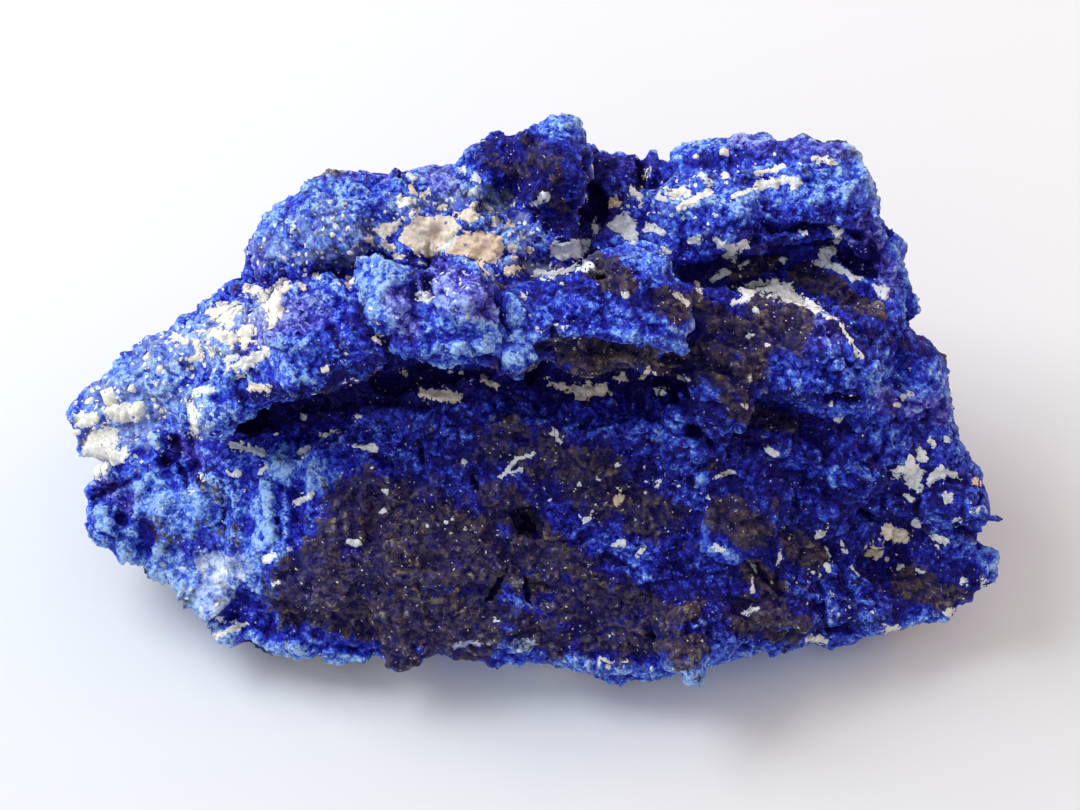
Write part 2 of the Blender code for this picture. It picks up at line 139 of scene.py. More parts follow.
# Pale clay. The first number is its tone, from cool white to tan.
clayMarks = {
    "lobeBits": (0.5, [(210, 312, 230, 324, 5), (222, 309, 236, 309, 7), (246, 288, 274, 297, 5),
        (273, 300, 277, 312, 7), (280, 285, 284, 286, 7), (175, 337, 186, 341, 4), (197, 345, 198, 350, 5),
        (210, 349, 211, 354, 4), (230, 340, 250, 330, 5), (243, 341, 246, 343, 5), (255, 342, 256, 343, 3),
        (190, 360, 200, 356, 3)]),
    "finger": (0.6, [(252, 386, 267, 389, 4), (236, 377, 245, 376, 2.5), (375, 338, 380, 342, 4),
        (348, 283, 352, 281, 4), (302, 286, 303, 286, 3), (316, 277, 317, 277, 3), (347, 354, 348, 354, 2.5),
        (325, 369, 326, 369, 2.5)]),
    "tan": (1.0, [(412, 190, 413, 190, 3), (613, 201, 616, 202, 5), (618, 501, 622, 499, 5),
        (976, 480, 978, 482, 4)]),
    "strip": (0.2, [(225, 360, 236, 357, 4), (197, 395, 212, 390, 3), (190, 405, 196, 415, 4),
        (192, 420, 195, 434, 4), (376, 230, 384, 236, 3)]),
    "bankBits": (0.7, [(470, 206, 476, 204, 3), (386, 244, 392, 248, 3.4), (396, 256, 402, 258, 2.6),
        (510, 246, 514, 250, 3), (506, 226, 510, 224, 2.6), (368, 240, 372, 243, 2.6),
        (440, 208, 446, 206, 2.4), (512, 258, 516, 260, 2.4), (482, 270, 486, 272, 3),
        (356, 246, 359, 249, 2.2), (420, 262, 426, 264, 2.4), (412, 212, 416, 210, 2.4),
        (530, 250, 533, 251, 2.2), (522, 238, 525, 236, 2.4), (494, 222, 498, 220, 2.4)]),
    "backFlecks": (0.05, [(460, 168, 464, 170, 3), (473, 176, 477, 179, 3.5), (408, 175, 416, 178, 2.5),
        (536, 202, 545, 198, 4), (344, 204, 345, 204, 2.5)]),
    "coolPatches": (0.0, [(594, 220, 596, 232, 3), (550, 272, 592, 266, 3), (536, 273, 552, 275, 4),
        (522, 295, 524, 296, 3)]),
    "ridgeDot": (0.2, [(422, 296, 426, 298, 6), (462, 271, 470, 273, 2), (624, 296, 627, 294, 2.5)]),
    "slabLayers": (0.25, [(755, 175, 782, 167, 3), (757, 185, 792, 180, 4.5), (732, 197, 760, 187, 2.5),
        (680, 207, 710, 192, 4), (672, 192, 688, 192, 5), (700, 175, 709, 182, 4), (659, 197, 661, 198, 4),
        (645, 177, 650, 172, 3), (632, 192, 640, 197, 4), (812, 157, 835, 162, 2.5),
        (792, 187, 800, 182, 2.5), (725, 175, 727, 176, 3)]),
    "underSlab": (0.15, [(647, 227, 662, 230, 4), (692, 240, 698, 240, 4.5), (664, 250, 667, 250, 3.5),
        (715, 240, 722, 246, 3.5), (731, 250, 744, 245, 5), (724, 257, 727, 258, 3),
        (747, 262, 740, 266, 2.5), (710, 280, 730, 270, 2.5), (802, 232, 803, 234, 2.5),
        (830, 227, 834, 228, 2.5)]),
    "aboveSeam": (0.1, [(825, 253, 830, 251, 6), (837, 240, 838, 234, 3), (782, 260, 784, 261, 2.5)]),
    "seamBits": (0.2, [(755, 309, 757, 312, 2.5), (842, 324, 843, 326, 2.5), (842, 328, 862, 357, 1.3)]),
    "besideDome": (0.15, [(675, 292, 687, 304, 3.5), (696, 283, 701, 292, 2.5), (746, 337, 750, 335, 2),
        (766, 345, 768, 346, 2), (748, 379, 751, 379, 2.5), (658, 393, 663, 390, 3.5),
        (680, 377, 687, 380, 2)]),
    "hollowSlivers": (0.7, [(482, 376, 498, 388, 2.5), (642, 376, 650, 370, 2.5), (400, 372, 404, 371, 2)]),
    "frontFlecks": (0.1, [(232, 445, 262, 451, 3.5), (300, 452, 305, 450, 3.5), (355, 446, 376, 449, 3.2),
        (320, 435, 340, 431, 2), (230, 474, 240, 475, 3.2), (265, 467, 260, 474, 2.5),
        (202, 475, 203, 476, 2.5), (192, 492, 193, 493, 2.5), (298, 502, 309, 496, 4),
        (384, 492, 387, 492, 2.5), (382, 511, 383, 514, 2.5), (347, 541, 360, 543, 3),
        (265, 560, 274, 555, 4), (288, 549, 291, 548, 2.5), (272, 584, 280, 582, 2),
        (302, 417, 304, 418, 2.5), (357, 417, 359, 417, 2.5), (462, 461, 465, 463, 2)]),
    "hook": (0.1, [(505, 472, 519, 458, 2.6), (520, 457, 534, 453, 2.2), (506, 474, 521, 470, 1.8),
        (553, 432, 559, 441, 3), (500, 476, 502, 477, 2)]),
    "middleFlecks": (0.05, [(585, 519, 590, 518, 2.6), (614, 544, 624, 542, 2.5), (637, 556, 645, 547, 2.5),
        (656, 486, 659, 483, 2.6), (715, 546, 724, 550, 2.6), (716, 477, 733, 472, 2),
        (596, 480, 598, 481, 2), (617, 464, 619, 465, 1.8), (495, 619, 497, 620, 1.8)]),
    "rightClay": (0.1, [(895, 474, 911, 465, 4.5), (910, 455, 915, 466, 3), (921, 452, 923, 459, 4.5),
        (909, 479, 917, 487, 5.5), (905, 496, 912, 500, 3.5), (930, 481, 942, 468, 3.6),
        (942, 467, 957, 477, 3), (945, 496, 948, 501, 3.5), (931, 442, 934, 444, 3.5),
        (946, 439, 948, 440, 3), (914, 522, 917, 527, 3.5), (955, 521, 959, 521, 3.5),
        (971, 512, 972, 513, 2.5), (932, 537, 947, 540, 3), (936, 546, 942, 552, 1.4)]),
    "rightBeige": (0.8, [(888, 531, 902, 537, 7), (872, 552, 879, 553, 6)]),
    "rightFlecks": (0.15, [(836, 421, 839, 421, 3), (744, 406, 747, 407, 2.6), (767, 448, 775, 453, 3.5),
        (829, 405, 832, 404, 2), (903, 399, 910, 395, 3), (896, 404, 898, 405, 2.6),
        (898, 567, 904, 566, 2.6), (919, 571, 921, 572, 3), (963, 581, 966, 581, 2.2),
        (982, 580, 985, 592, 2.4), (818, 537, 823, 533, 3.4), (827, 550, 831, 560, 2.2),
        (826, 566, 829, 569, 3.5), (842, 542, 846, 552, 1.8), (852, 567, 859, 576, 1.8),
        (745, 612, 757, 609, 3), (782, 547, 777, 565, 1.3), (752, 575, 752, 592, 1.2),
        (753, 568, 755, 570, 2), (830, 592, 832, 593, 2.2), (829, 609, 831, 609, 2)]),
    "lowEdge": (0.3, [(886, 631, 895, 631, 5.5), (810, 642, 821, 639, 5), (948, 613, 953, 611, 4.5),
        (596, 658, 599, 658, 2), (605, 661, 611, 662, 2.4), (624, 662, 627, 662, 2), (215, 617, 245, 625, 2),
        (320, 655, 323, 655, 2.6), (872, 612, 873, 613, 2)]),
}

# Wider plates of clay: tone, then the outline in pixels.
clayPlates = {
    "lobePlate": (0.25, [(102, 412), (112, 405), (127, 402), (142, 407), (144, 417), (137, 422), (122, 424),
        (110, 420)]),
    "lobeFoot": (0.35, [(88, 452), (104, 447), (116, 450), (128, 446), (126, 462), (112, 468), (104, 478),
        (94, 480), (88, 466)]),
    "lobeTip": (0.3, [(73, 414), (84, 410), (97, 413), (99, 424), (84, 428), (75, 424)]),
    "lobeCrust": (0.45, [(196, 330), (214, 326), (230, 332), (246, 330), (244, 338), (226, 342), (208, 339)]),
    "lobeEdge": (0.3, [(81, 445), (87, 435), (107, 426), (120, 430), (121, 442), (112, 450), (105, 460),
        (85, 462), (81, 452)]),
    "lobeCream": (0.5, [(205, 312), (225, 305), (235, 310), (232, 320), (225, 330), (220, 320), (210, 319)]),
    "lobeGully": (0.45, [(256, 290), (282, 290), (280, 305), (277, 326), (268, 330), (264, 312)]),
    "lobeStrip": (0.25, [(226, 368), (240, 358), (258, 350), (270, 344), (270, 358), (250, 366), (236, 374)]),
    "bankPale": (0.75, [(398, 240), (403, 228), (414, 218), (432, 215), (452, 217), (463, 228), (449, 243),
        (432, 258), (420, 256), (408, 248)]),
    "bankTan": (1.0, [(444, 254), (458, 236), (476, 230), (494, 232), (506, 242), (502, 256), (488, 266),
        (474, 262), (462, 256)]),
    "bankWedge": (0.05, [(430, 255), (455, 234), (459, 239), (447, 252)]),
    "bankLeft": (0.6, [(376, 231), (383, 224), (402, 219), (404, 226), (392, 234), (382, 238)]),
    "bankRight": (0.75, [(455, 214), (472, 207), (481, 213), (474, 223), (460, 221)]),
    "bankFoot": (0.7, [(503, 270), (512, 264), (521, 268), (516, 276), (506, 277)]),
    "bankUpper": (0.35, [(396, 203), (404, 197), (418, 197), (428, 190), (430, 195), (416, 204), (402, 208)]),
    "rim": (0.3, [(462, 146), (470, 134), (484, 127), (491, 128), (482, 138), (470, 146)]),
    "coolRight": (0.0, [(607, 225), (617, 215), (627, 212), (636, 222), (639, 240), (635, 245), (625, 237),
        (615, 232)]),
    "coolLeft": (0.0, [(548, 245), (565, 240), (575, 237), (591, 240), (587, 250), (582, 262), (572, 257),
        (560, 260), (550, 255)]),
    "lowerSeam": (0.15, [(732, 287), (762, 280), (772, 276), (785, 284), (790, 280), (796, 290), (802, 297),
        (815, 302), (825, 312), (840, 316), (837, 322), (820, 315), (800, 307), (775, 297), (760, 291),
        (747, 302), (730, 305), (742, 295)]),
    "upperSeam": (0.05, [(807, 257), (825, 260), (840, 264), (850, 270), (865, 280), (852, 281), (837, 271),
        (815, 265)]),
    "seamEnd": (0.1, [(873, 286), (882, 285), (890, 292), (887, 301), (877, 297)]),
    "underSlab": (0.15, [(722, 247), (730, 242), (740, 245), (747, 250), (737, 255), (735, 265), (727, 257)]),
    "hollowRight": (0.7, [(548, 379), (565, 381), (577, 386), (587, 382), (607, 384), (611, 394), (592, 397),
        (582, 399), (565, 391), (550, 385)]),
    "hollowEnd": (0.6, [(612, 377), (625, 372), (630, 377), (627, 382), (615, 381)]),
    "hollowLeft": (0.65, [(416, 385), (430, 391), (450, 389), (462, 394), (460, 401), (430, 400),
        (420, 394)]),
    "hollowTop": (0.5, [(451, 371), (465, 369), (467, 373), (455, 377)]),
    "rightCluster": (0.1, [(896, 472), (905, 464), (910, 452), (914, 460), (924, 470), (922, 480), (912, 487),
        (906, 478)]),
    "rightHook": (0.1, [(928, 480), (938, 470), (944, 464), (948, 471), (958, 472), (960, 480), (948, 474),
        (936, 482)]),
}

# Nodules of clay that stand out of the crust, given the same way.
noduleMarks = {
    "lobeNodules": (0.35, [(106, 392, 112, 397, 11), (91, 400, 92, 401, 6), (131, 390, 134, 390, 7),
        (106, 414, 144, 411, 9), (78, 428, 80, 432, 7), (90, 419, 96, 417, 7), (147, 354, 148, 358, 6),
        (144, 364, 145, 366, 4), (159, 368, 161, 370, 6), (157, 385, 158, 386, 4), (160, 410, 164, 410, 4),
        (152, 400, 155, 398, 4)]),
    "bossNodules": (0.5, [(346, 227, 348, 228, 5), (331, 235, 333, 236, 4.5), (350, 252, 351, 253, 4),
        (306, 255, 307, 255, 3.5), (322, 252, 323, 253, 3.5), (285, 257, 286, 258, 3.5),
        (332, 219, 333, 219, 3), (342, 217, 343, 217, 2.5), (385, 212, 386, 212, 2.5)]),
    "slabNodules": (0.4, [(724, 152, 726, 153, 5.5), (694, 156, 698, 156, 3.5), (774, 155, 776, 155, 4),
        (716, 134, 718, 134, 2.5), (821, 137, 823, 137, 2)]),
}

# Painted shade: hollows, undersides, gaps and the front faces turned from the light are painted darker,
# towards near black, with some crust that is dark itself, as on the peak.
shadeAndDarkMarks = {
    "dome": (0.6, [(700, 300, 860, 340, 40)]),
    "slab": (0.45, [(700, 225, 860, 215, 16), (600, 150, 640, 200, 22), (700, 160, 780, 150, 10)]),
    "peak": (0.8, [(500, 140, 580, 210, 30)]),
    "ridgeRight": (0.5, [(560, 300, 680, 320, 40)]),
    "front": (0.6, [(420, 480, 620, 480, 60), (720, 480, 900, 520, 90), (600, 600, 880, 590, 50)]),
    "hollowEnd": (0.3, [(250, 404, 300, 416, 16)]),
    "hollow": (1.0, [(316, 404, 420, 396, 18), (420, 388, 520, 384, 20), (520, 384, 690, 376, 18),
        (690, 400, 720, 420, 8)]),
    "belowHollow": (0.45, [(300, 440, 420, 430, 20), (420, 425, 690, 415, 26), (420, 470, 600, 440, 26)]),
    "blockFoot": (0.8, [(330, 372, 420, 360, 14), (240, 396, 300, 392, 8)]),
    "underSlab": (0.7, [(745, 232, 860, 226, 10), (720, 262, 790, 238, 6), (860, 240, 876, 262, 10)]),
    "peakSide": (0.7, [(575, 150, 590, 230, 12), (600, 150, 640, 170, 12), (545, 225, 600, 235, 8)]),
    "rightGaps": (0.7, [(735, 286, 770, 282, 7), (745, 395, 860, 398, 10), (690, 436, 720, 446, 8),
        (890, 340, 935, 350, 10), (755, 575, 782, 590, 8), (760, 440, 830, 440, 8), (830, 470, 850, 480, 8),
        (860, 510, 880, 520, 8), (900, 570, 980, 585, 14)]),
    "lowerMiddle": (0.5, [(470, 560, 500, 600, 10), (560, 590, 640, 600, 14), (640, 560, 690, 600, 14)]),
    "leftCreases": (0.5, [(88, 494, 140, 474, 5), (140, 474, 176, 452, 5), (180, 465, 187, 486, 4)]),
    "knobGap": (0.6, [(352, 320, 372, 352, 6), (410, 252, 416, 300, 4), (330, 330, 345, 350, 6)]),
}

# Crust dusted with clay, in a fine mix of cream, grey-blue and azure. The frontSheen marks lay the same pale
# mix on the front faces as a painted sheen.
dustAndSheenMarks = {
    "boss": (0.9, [(275, 250, 350, 250, 24), (300, 225, 370, 235, 18), (330, 215, 345, 240, 24),
        (390, 205, 460, 200, 14)]),
    "backWall": (0.9, [(490, 200, 530, 240, 22), (470, 190, 500, 200, 12), (505, 265, 560, 270, 10)]),
    "slab": (0.6, [(625, 195, 700, 200, 18), (690, 180, 760, 175, 10), (770, 165, 830, 158, 7)]),
    "lobe": (1.0, [(105, 395, 160, 400, 30), (150, 360, 220, 340, 28), (90, 440, 140, 430, 24),
        (190, 400, 200, 430, 14), (220, 320, 270, 310, 20)]),
    "ridge": (0.35, [(360, 290, 380, 310, 18), (440, 280, 470, 310, 16), (520, 320, 560, 330, 14)]),
    "lowerRight": (0.4, [(800, 570, 850, 600, 16), (870, 540, 900, 560, 12), (655, 480, 700, 500, 10)]),
    "frontSheen": (0.3, [(560, 490, 610, 510, 16), (430, 520, 460, 530, 14)]),
}

# Rounded, granular lumps, in place of broken blocks.
roundMarks = {
    "ridge": (1.0, [(370, 262, 380, 310, 38), (440, 270, 470, 320, 34), (520, 310, 560, 330, 26),
        (600, 280, 660, 320, 34)]),
    "block": (0.8, [(262, 330, 320, 330, 34), (270, 370, 330, 360, 24)]),
    "boss": (0.9, [(270, 200, 360, 230, 44)]),
    "slab": (0.8, [(700, 150, 860, 170, 40), (690, 205, 840, 200, 24)]),
    "lobe": (0.7, [(100, 420, 240, 330, 44)]),
}

# Violet crust.
violetMarks = {
    "block": (0.8, [(262, 318, 310, 312, 20), (240, 345, 270, 330, 12)]),
    "knob": (0.9, [(440, 280, 480, 300, 22), (395, 300, 410, 330, 14)]),
    "rim": (0.7, [(300, 165, 400, 165, 12), (230, 220, 255, 260, 12), (430, 160, 450, 190, 14)]),
    "slabTop": (0.6, [(790, 140, 850, 150, 12), (740, 140, 770, 150, 10), (600, 160, 640, 165, 12)]),
    "flank": (0.8, [(865, 225, 890, 280, 12), (890, 400, 940, 410, 14)]),
    "leftCorner": (0.7, [(85, 470, 130, 500, 12), (180, 440, 200, 460, 12)]),
    "dome": (0.6, [(770, 320, 830, 330, 18)]),
}

# Painted highlight: a pale, crinkled sheen where the left front and the lip of the skirt catch the light.
sheenHighlightMarks = {
    "leftFront": (1.0, [(208, 564, 240, 568, 12), (212, 580, 226, 590, 10)]),
    "leftWash": (0.42, [(165, 565, 195, 580, 7), (205, 560, 222, 596, 12)]),
    "skirtBounceLight": (0.6, [(455, 646, 480, 643, 3), (512, 645, 535, 644, 4)]),
}

# Small holes and cracks, with how deep they are in millimetres. Their insides are painted near black: painted
# shade.
pitMarks = {
    "squarePit": (1.0, [(523, 518, 529, 520, 3.4), (526, 526, 533, 529, 3.4)]),
    "slits": (1.1, [(471, 476, 476, 488, 3), (420, 440, 421, 462, 2.4), (488, 600, 500, 580, 3),
        (527, 580, 529, 604, 2.6), (538, 585, 547, 588, 2.4), (648, 634, 654, 637, 3)]),
    "cornerHole": (2.0, [(915, 504, 918, 516, 4)]),
    "leftSlots": (0.5, [(181, 466, 187, 486, 2.6), (211, 468, 203, 486, 2.6), (221, 480, 223, 500, 2.2),
        (234, 482, 238, 494, 2), (277, 518, 281, 536, 2.6), (222, 510, 224, 552, 1.6)]),
}

# Blocks and lips that stand out, and hollows between them, with how far in millimetres.
riseMarks = {
    "tongue": (0.7, [(268, 484, 271, 540, 6)]),
    "roundKnobRim": (0.5, [(712, 500, 706, 540, 8), (706, 545, 740, 560, 7), (768, 500, 776, 540, 8)]),
    "stairBlocks": (1.2, [(716, 352, 738, 362, 12), (708, 380, 735, 398, 12), (650, 390, 678, 420, 12)]),
    "tooth": (1.2, [(652, 152, 654, 182, 4)]),
    "skirtLip": (0.8, [(210, 620, 300, 648, 6), (300, 648, 390, 664, 5), (575, 660, 650, 668, 7)]),
    "rightBlocks": (0.9, [(840, 440, 866, 470, 14), (790, 500, 830, 510, 12), (925, 505, 970, 500, 12),
        (800, 620, 840, 615, 10)]),
    "ridgeLip": (0.9, [(395, 345, 425, 350, 7), (440, 345, 490, 345, 6), (500, 350, 520, 362, 7),
        (560, 328, 640, 334, 6), (640, 334, 680, 345, 6)]),
    "underLip": (-2.4, [(380, 384, 420, 374, 10), (420, 374, 492, 366, 9), (532, 376, 550, 360, 7)]),
    "underBlocks": (-1.2, [(545, 352, 640, 352, 12), (640, 356, 684, 366, 9)]),
    "leftCavities": (-0.8, [(112, 512, 128, 522, 6), (100, 535, 112, 540, 4)]),
    "leftCrack": (-0.6, [(92, 498, 140, 478, 2.5)]),
    "leftFront": (1.8, [(126, 552, 160, 580, 12), (160, 580, 190, 596, 13)]),
    "leftFoot": (3.0, [(184, 592, 222, 606, 13)]),
    "skirtEnd": (2.6, [(224, 620, 240, 632, 9)]),
    "leftNotch": (1.5, [(84, 462, 108, 474, 9), (158, 438, 172, 452, 8)]),
    "hollow": (-0.9, [(350, 392, 420, 402, 9), (310, 405, 350, 398, 9)]),
    "cornerSpike": (2.0, [(964, 508, 976, 514, 5), (976, 514, 986, 519, 2)]),
    "cornerNotch": (-2.0, [(958, 534, 986, 537, 5)]),
    "footTooth": (1.4, [(664, 646, 692, 658, 12)]),
    "toothTip": (2.3, [(691, 662, 696, 670, 7)]),
    "rightGaps": (-1.8, [(732, 286, 760, 280, 5), (845, 255, 870, 275, 6), (770, 225, 860, 236, 5),
        (755, 570, 782, 590, 6), (690, 430, 712, 446, 5), (815, 398, 860, 400, 4), (590, 275, 600, 276, 4),
        (860, 510, 872, 518, 3), (780, 572, 784, 590, 3)]),
    "saddle": (-1.8, [(590, 160, 600, 215, 7), (640, 160, 643, 190, 4), (572, 208, 600, 222, 5)]),
    "knobCreases": (-0.9, [(350, 285, 362, 330, 5), (362, 330, 392, 350, 5), (428, 246, 426, 290, 3),
        (498, 280, 508, 330, 4)]),
}


def strokeField(pixels, strokes):
    # 1 on a stroke's middle, 0 at its edge and below 0 outside, for the nearest stroke.
    best = np.full(len(pixels), farOutside)
    for x0, y0, x1, y1, half in strokes:
        start = np.array((x0, y0), float)
        run = np.array((x1 - x0, y1 - y0), float)
        along = np.clip((pixels - start) @ run / max(run @ run, 1e-6), 0, 1)
        gap = np.linalg.norm(pixels - start - along[:, None] * run, axis=1)
        best = np.maximum(best, 1 - gap / half)
    return best


def softMask(pixels, marks, spread=1.0):
    # The strongest mark at each place, fading over a stroke's edge.
    best = np.zeros(len(pixels))
    for strength, strokes in marks.values():
        field = strokeField(pixels, strokes)
        best = np.maximum(best, strength * smooth(field / spread + 0.5))
    return best


def plateField(pixels, outline):
    # How far inside an outline each place is, in pixels; below 0 outside.
    corners = np.array(outline, float)
    nearest = np.full(len(pixels), 1e9)
    crossings = np.zeros(len(pixels), int)
    for start, end in zip(corners, np.roll(corners, -1, axis=0)):
        run = end - start
        along = np.clip((pixels - start) @ run / (run @ run), 0, 1)
        gap = np.linalg.norm(pixels - start - along[:, None] * run, axis=1)
        nearest = np.minimum(nearest, gap)
        spans = (start[1] > pixels[:, 1]) != (end[1] > pixels[:, 1])
        if abs(run[1]) > 1e-6:
            cross = start[0] + (pixels[:, 1] - start[1]) * run[0] / run[1]
            crossings += spans & (pixels[:, 0] < cross)
    return np.where(crossings % 2 == 1, nearest, -nearest)


def smooth(x):
    x = np.clip(x, 0, 1)
    return x * x * (3 - 2 * x)


def noiseAt(points, width, shift=(0, 0, 0)):
    return np.array([noise.noise(Vector(p) / width + Vector(shift)) for p in points])


def calmShare(waves):
    # 1 in patches where the crust is smoother, from a noise.
    return smooth(0.4 + 2.5 * waves)


def facetAt(place, key):
    # A face tilted its own way for each cell: its height, and how far the cell's edge is.
    gaps, middles = noise.voronoi(place)
    tilt = noise.cell_vector(middles[0] * key) - Vector((0.5, 0.5, 0.5))
    return (place - middles[0]).dot(tilt) * 2, gaps[1] - gaps[0]


def readOut(items, name, width, kind=float):
    flat = np.empty(len(items) * width, kind)
    items.foreach_get(name, flat)
    return flat.reshape(-1, width)


def coordsOf(mesh):
    return readOut(mesh.vertices, "co", 3)


def normalsOf(mesh):
    return readOut(mesh.vertex_normals, "vector", 3)


def edgesOf(mesh):
    return readOut(mesh.edges, "vertices", 2, np.int32)


def trianglesOf(mesh):
    mesh.calc_loop_triangles()
    return readOut(mesh.loop_triangles, "vertices", 3, np.int32)


def treeOf(made):
    return BVHTree.FromObject(made, bpy.context.evaluated_depsgraph_get())


def setCoords(mesh, points):
    mesh.vertices.foreach_set("co", points.ravel())
    mesh.update()


def spreadOut(values, edges, rounds):
    # Averages values with those of the neighbours.
    count = np.bincount(edges.ravel(), minlength=len(values)).astype(float)
    flat = values.reshape(len(values), -1)
    for _ in range(rounds):
        total = np.zeros_like(flat)
        for axis in range(flat.shape[1]):
            column = flat[:, axis]
            total[:, axis] = (np.bincount(edges[:, 0], column[edges[:, 1]], len(flat))
                              + np.bincount(edges[:, 1], column[edges[:, 0]], len(flat)))
        flat = (flat + total) / (count[:, None] + 1)
    return flat.reshape(values.shape)


def newObject(name, data):
    made = bpy.data.objects.new(name, data)
    bpy.context.scene.collection.objects.link(made)
    return made


def applyModifiers(made):
    graph = bpy.context.evaluated_depsgraph_get()
    made.data = bpy.data.meshes.new_from_object(made.evaluated_get(graph))
    made.modifiers.clear()


def storeColors(mesh, name, columns):
    colors = np.ones((len(mesh.vertices), 4), np.float32)
    for index, column in enumerate(columns):
        colors[:, index] = column
    attribute = mesh.attributes.new(name, "FLOAT_COLOR", "POINT")
    attribute.data.foreach_set("color", colors.ravel())


def crumbShapes(count, corners, rng):
    # Angular blocks about 1 in radius, as lists of points and triangles.
    shapes = []
    for _ in range(count):
        bm = bmesh.new()
        for direction in rng.normal(size=(corners, 3)):
            bm.verts.new(direction / np.linalg.norm(direction) * rng.uniform(0.8, 1.1))
        hull = bmesh.ops.convex_hull(bm, input=bm.verts)
        inside = list(set(hull["geom_interior"] + hull["geom_unused"]))
        bmesh.ops.delete(bm, geom=inside, context="VERTS")
        bmesh.ops.triangulate(bm, faces=bm.faces)
        bm.verts.index_update()
        points = np.array([vert.co for vert in bm.verts])
        triangles = np.array([[vert.index for vert in face.verts] for face in bm.faces])
        shapes.append((points, triangles))
        bm.free()
    return shapes


def randomTurns(count, rng):
    # Even random rotations, from random quaternions.
    w, x, y, z = (rng.normal(size=(4, count)) + 1e-9)
    size = np.sqrt(w * w + x * x + y * y + z * z)
    w, x, y, z = w / size, x / size, y / size, z / size
    rows = [[1 - 2 * (y * y + z * z), 2 * (x * y - w * z), 2 * (x * z + w * y)],
            [2 * (x * y + w * z), 1 - 2 * (x * x + z * z), 2 * (y * z - w * x)],
            [2 * (x * z - w * y), 2 * (y * z + w * x), 1 - 2 * (x * x + y * y)]]
    return np.array(rows).transpose(2, 0, 1)


def scatterShapes(shapes, places, scales, rng):
    # Turned copies of the shapes: their points, triangles and which place each point is from.
    turns = randomTurns(len(places), rng)
    chosen = rng.integers(0, len(shapes), len(places))
    allPoints, allTriangles, owners, start = [], [], [], 0
    for index, (points, triangles) in enumerate(shapes):
        own = np.flatnonzero(chosen == index)
        made = np.einsum("nij,nkj->nki", turns[own], points[None] * scales[own][:, None])
        made += places[own][:, None]
        allPoints.append(made.reshape(-1, 3))
        offsets = start + np.arange(len(own)) * len(points)
        allTriangles.append((triangles[None] + offsets[:, None, None]).reshape(-1, 3))
        owners.append(np.repeat(own, len(points)))
        start += len(own) * len(points)
    return np.concatenate(allPoints), np.concatenate(allTriangles), np.concatenate(owners)


def mostlySmall(form, count, rng):
    # Sizes between the least and the most of a form, with few large ones.
    low, high = form["size"]
    return (low + (high - low) * rng.random(count) ** form["mostlySmall"]) * mm


def unevenScales(form, sizes, rng):
    return sizes[:, None] * rng.uniform(*form["uneven"], (len(sizes), 3))


def meshFrom(name, points, triangles):
    mesh = bpy.data.meshes.new(name)
    mesh.vertices.add(len(points))
    mesh.vertices.foreach_set("co", points.ravel())
    mesh.loops.add(triangles.size)
    mesh.loops.foreach_set("vertex_index", triangles.ravel().astype(np.int32))
    mesh.polygons.add(len(triangles))
    mesh.polygons.foreach_set("loop_start", np.arange(0, triangles.size, 3, dtype=np.int32))
    mesh.update(calc_edges=True)
    return mesh


def surfacePoints(mesh, count, rng):
    # Points spread evenly over a mesh, with their normals and one corner of their triangle.
    triangles = trianglesOf(mesh)
    corners = coordsOf(mesh)[triangles]
    first, second = corners[:, 1] - corners[:, 0], corners[:, 2] - corners[:, 0]
    crosses = np.cross(first, second)
    areas = np.linalg.norm(crosses, axis=1)
    chosen = rng.choice(len(areas), count, p=areas / areas.sum())
    u, v = rng.random(count), rng.random(count)
    u, v = np.where(u + v > 1, 1 - u, u), np.where(u + v > 1, 1 - v, v)
    points = corners[chosen, 0] + u[:, None] * first[chosen] + v[:, None] * second[chosen]
    return points, crosses[chosen] / areas[chosen][:, None], triangles[chosen, 0]


stoneForm = {
    "blocks": 1900,             # of crust, grown on the stone
    "size": (0.5, 1.5),         # mm, half across
    "mostlySmall": 2.2,         # the higher, the fewer large ones
    "uneven": (0.65, 1.4),      # how much a block's three sides differ
    "shapes": (24, 9),          # how many different ones, and their corners
    "sunk": 0.62,               # share of its size that a block sits below the surface
    "bare": {"brown": 0.75, "round": 0.82, "groove": 0.85, "calm": 0.6},  # share left out on each
    "calmWidth": 6 * mm,        # of the patches where fewer of them grow
    "footClear": 1.2 * mm,      # nothing grows below this height
    "cell": 0.36 * mm,          # grid of the mesh
    "triangles": 194000,        # kept when the hidden side is thinned
    "hidden": 0.02,             # seen less than this, a place is thinned
    "seed": 11,
}


def seenShare(points, normals, tree, rounds, edges):
    # 1 where the eye sees the surface, 0 where it doesn't, softened in between.
    place = eyeAxes()[0]
    seen = np.zeros(len(points))
    for index, (point, normal) in enumerate(zip(points, normals)):
        away = place - Vector(point)
        if away.normalized().dot(Vector(normal)) < eye["grazing"]:
            continue
        start = Vector(point) + away.normalized() * eye["clear"] * mm
        if tree.ray_cast(start, away)[0] is None:
            seen[index] = 1
    return spreadOut(seen, edges, rounds)


def thinHiddenSide(stone):
    # Fewer triangles where the eye sees nothing, so that there are more where it does.
    mesh = stone.data
    seen = seenShare(coordsOf(mesh), normalsOf(mesh), treeOf(stone), 8, edgesOf(mesh))
    group = stone.vertex_groups.new(name="hidden")
    group.add(np.flatnonzero(seen < stoneForm["hidden"]).tolist(), 1.0, "REPLACE")
    thin = stone.modifiers.new("thinned", "DECIMATE")
    thin.ratio = stoneForm["triangles"] / len(trianglesOf(mesh))
    thin.vertex_group = group.name
    applyModifiers(stone)
    stone.vertex_groups.clear()
    print("stone grown:", len(trianglesOf(stone.data)), "triangles")


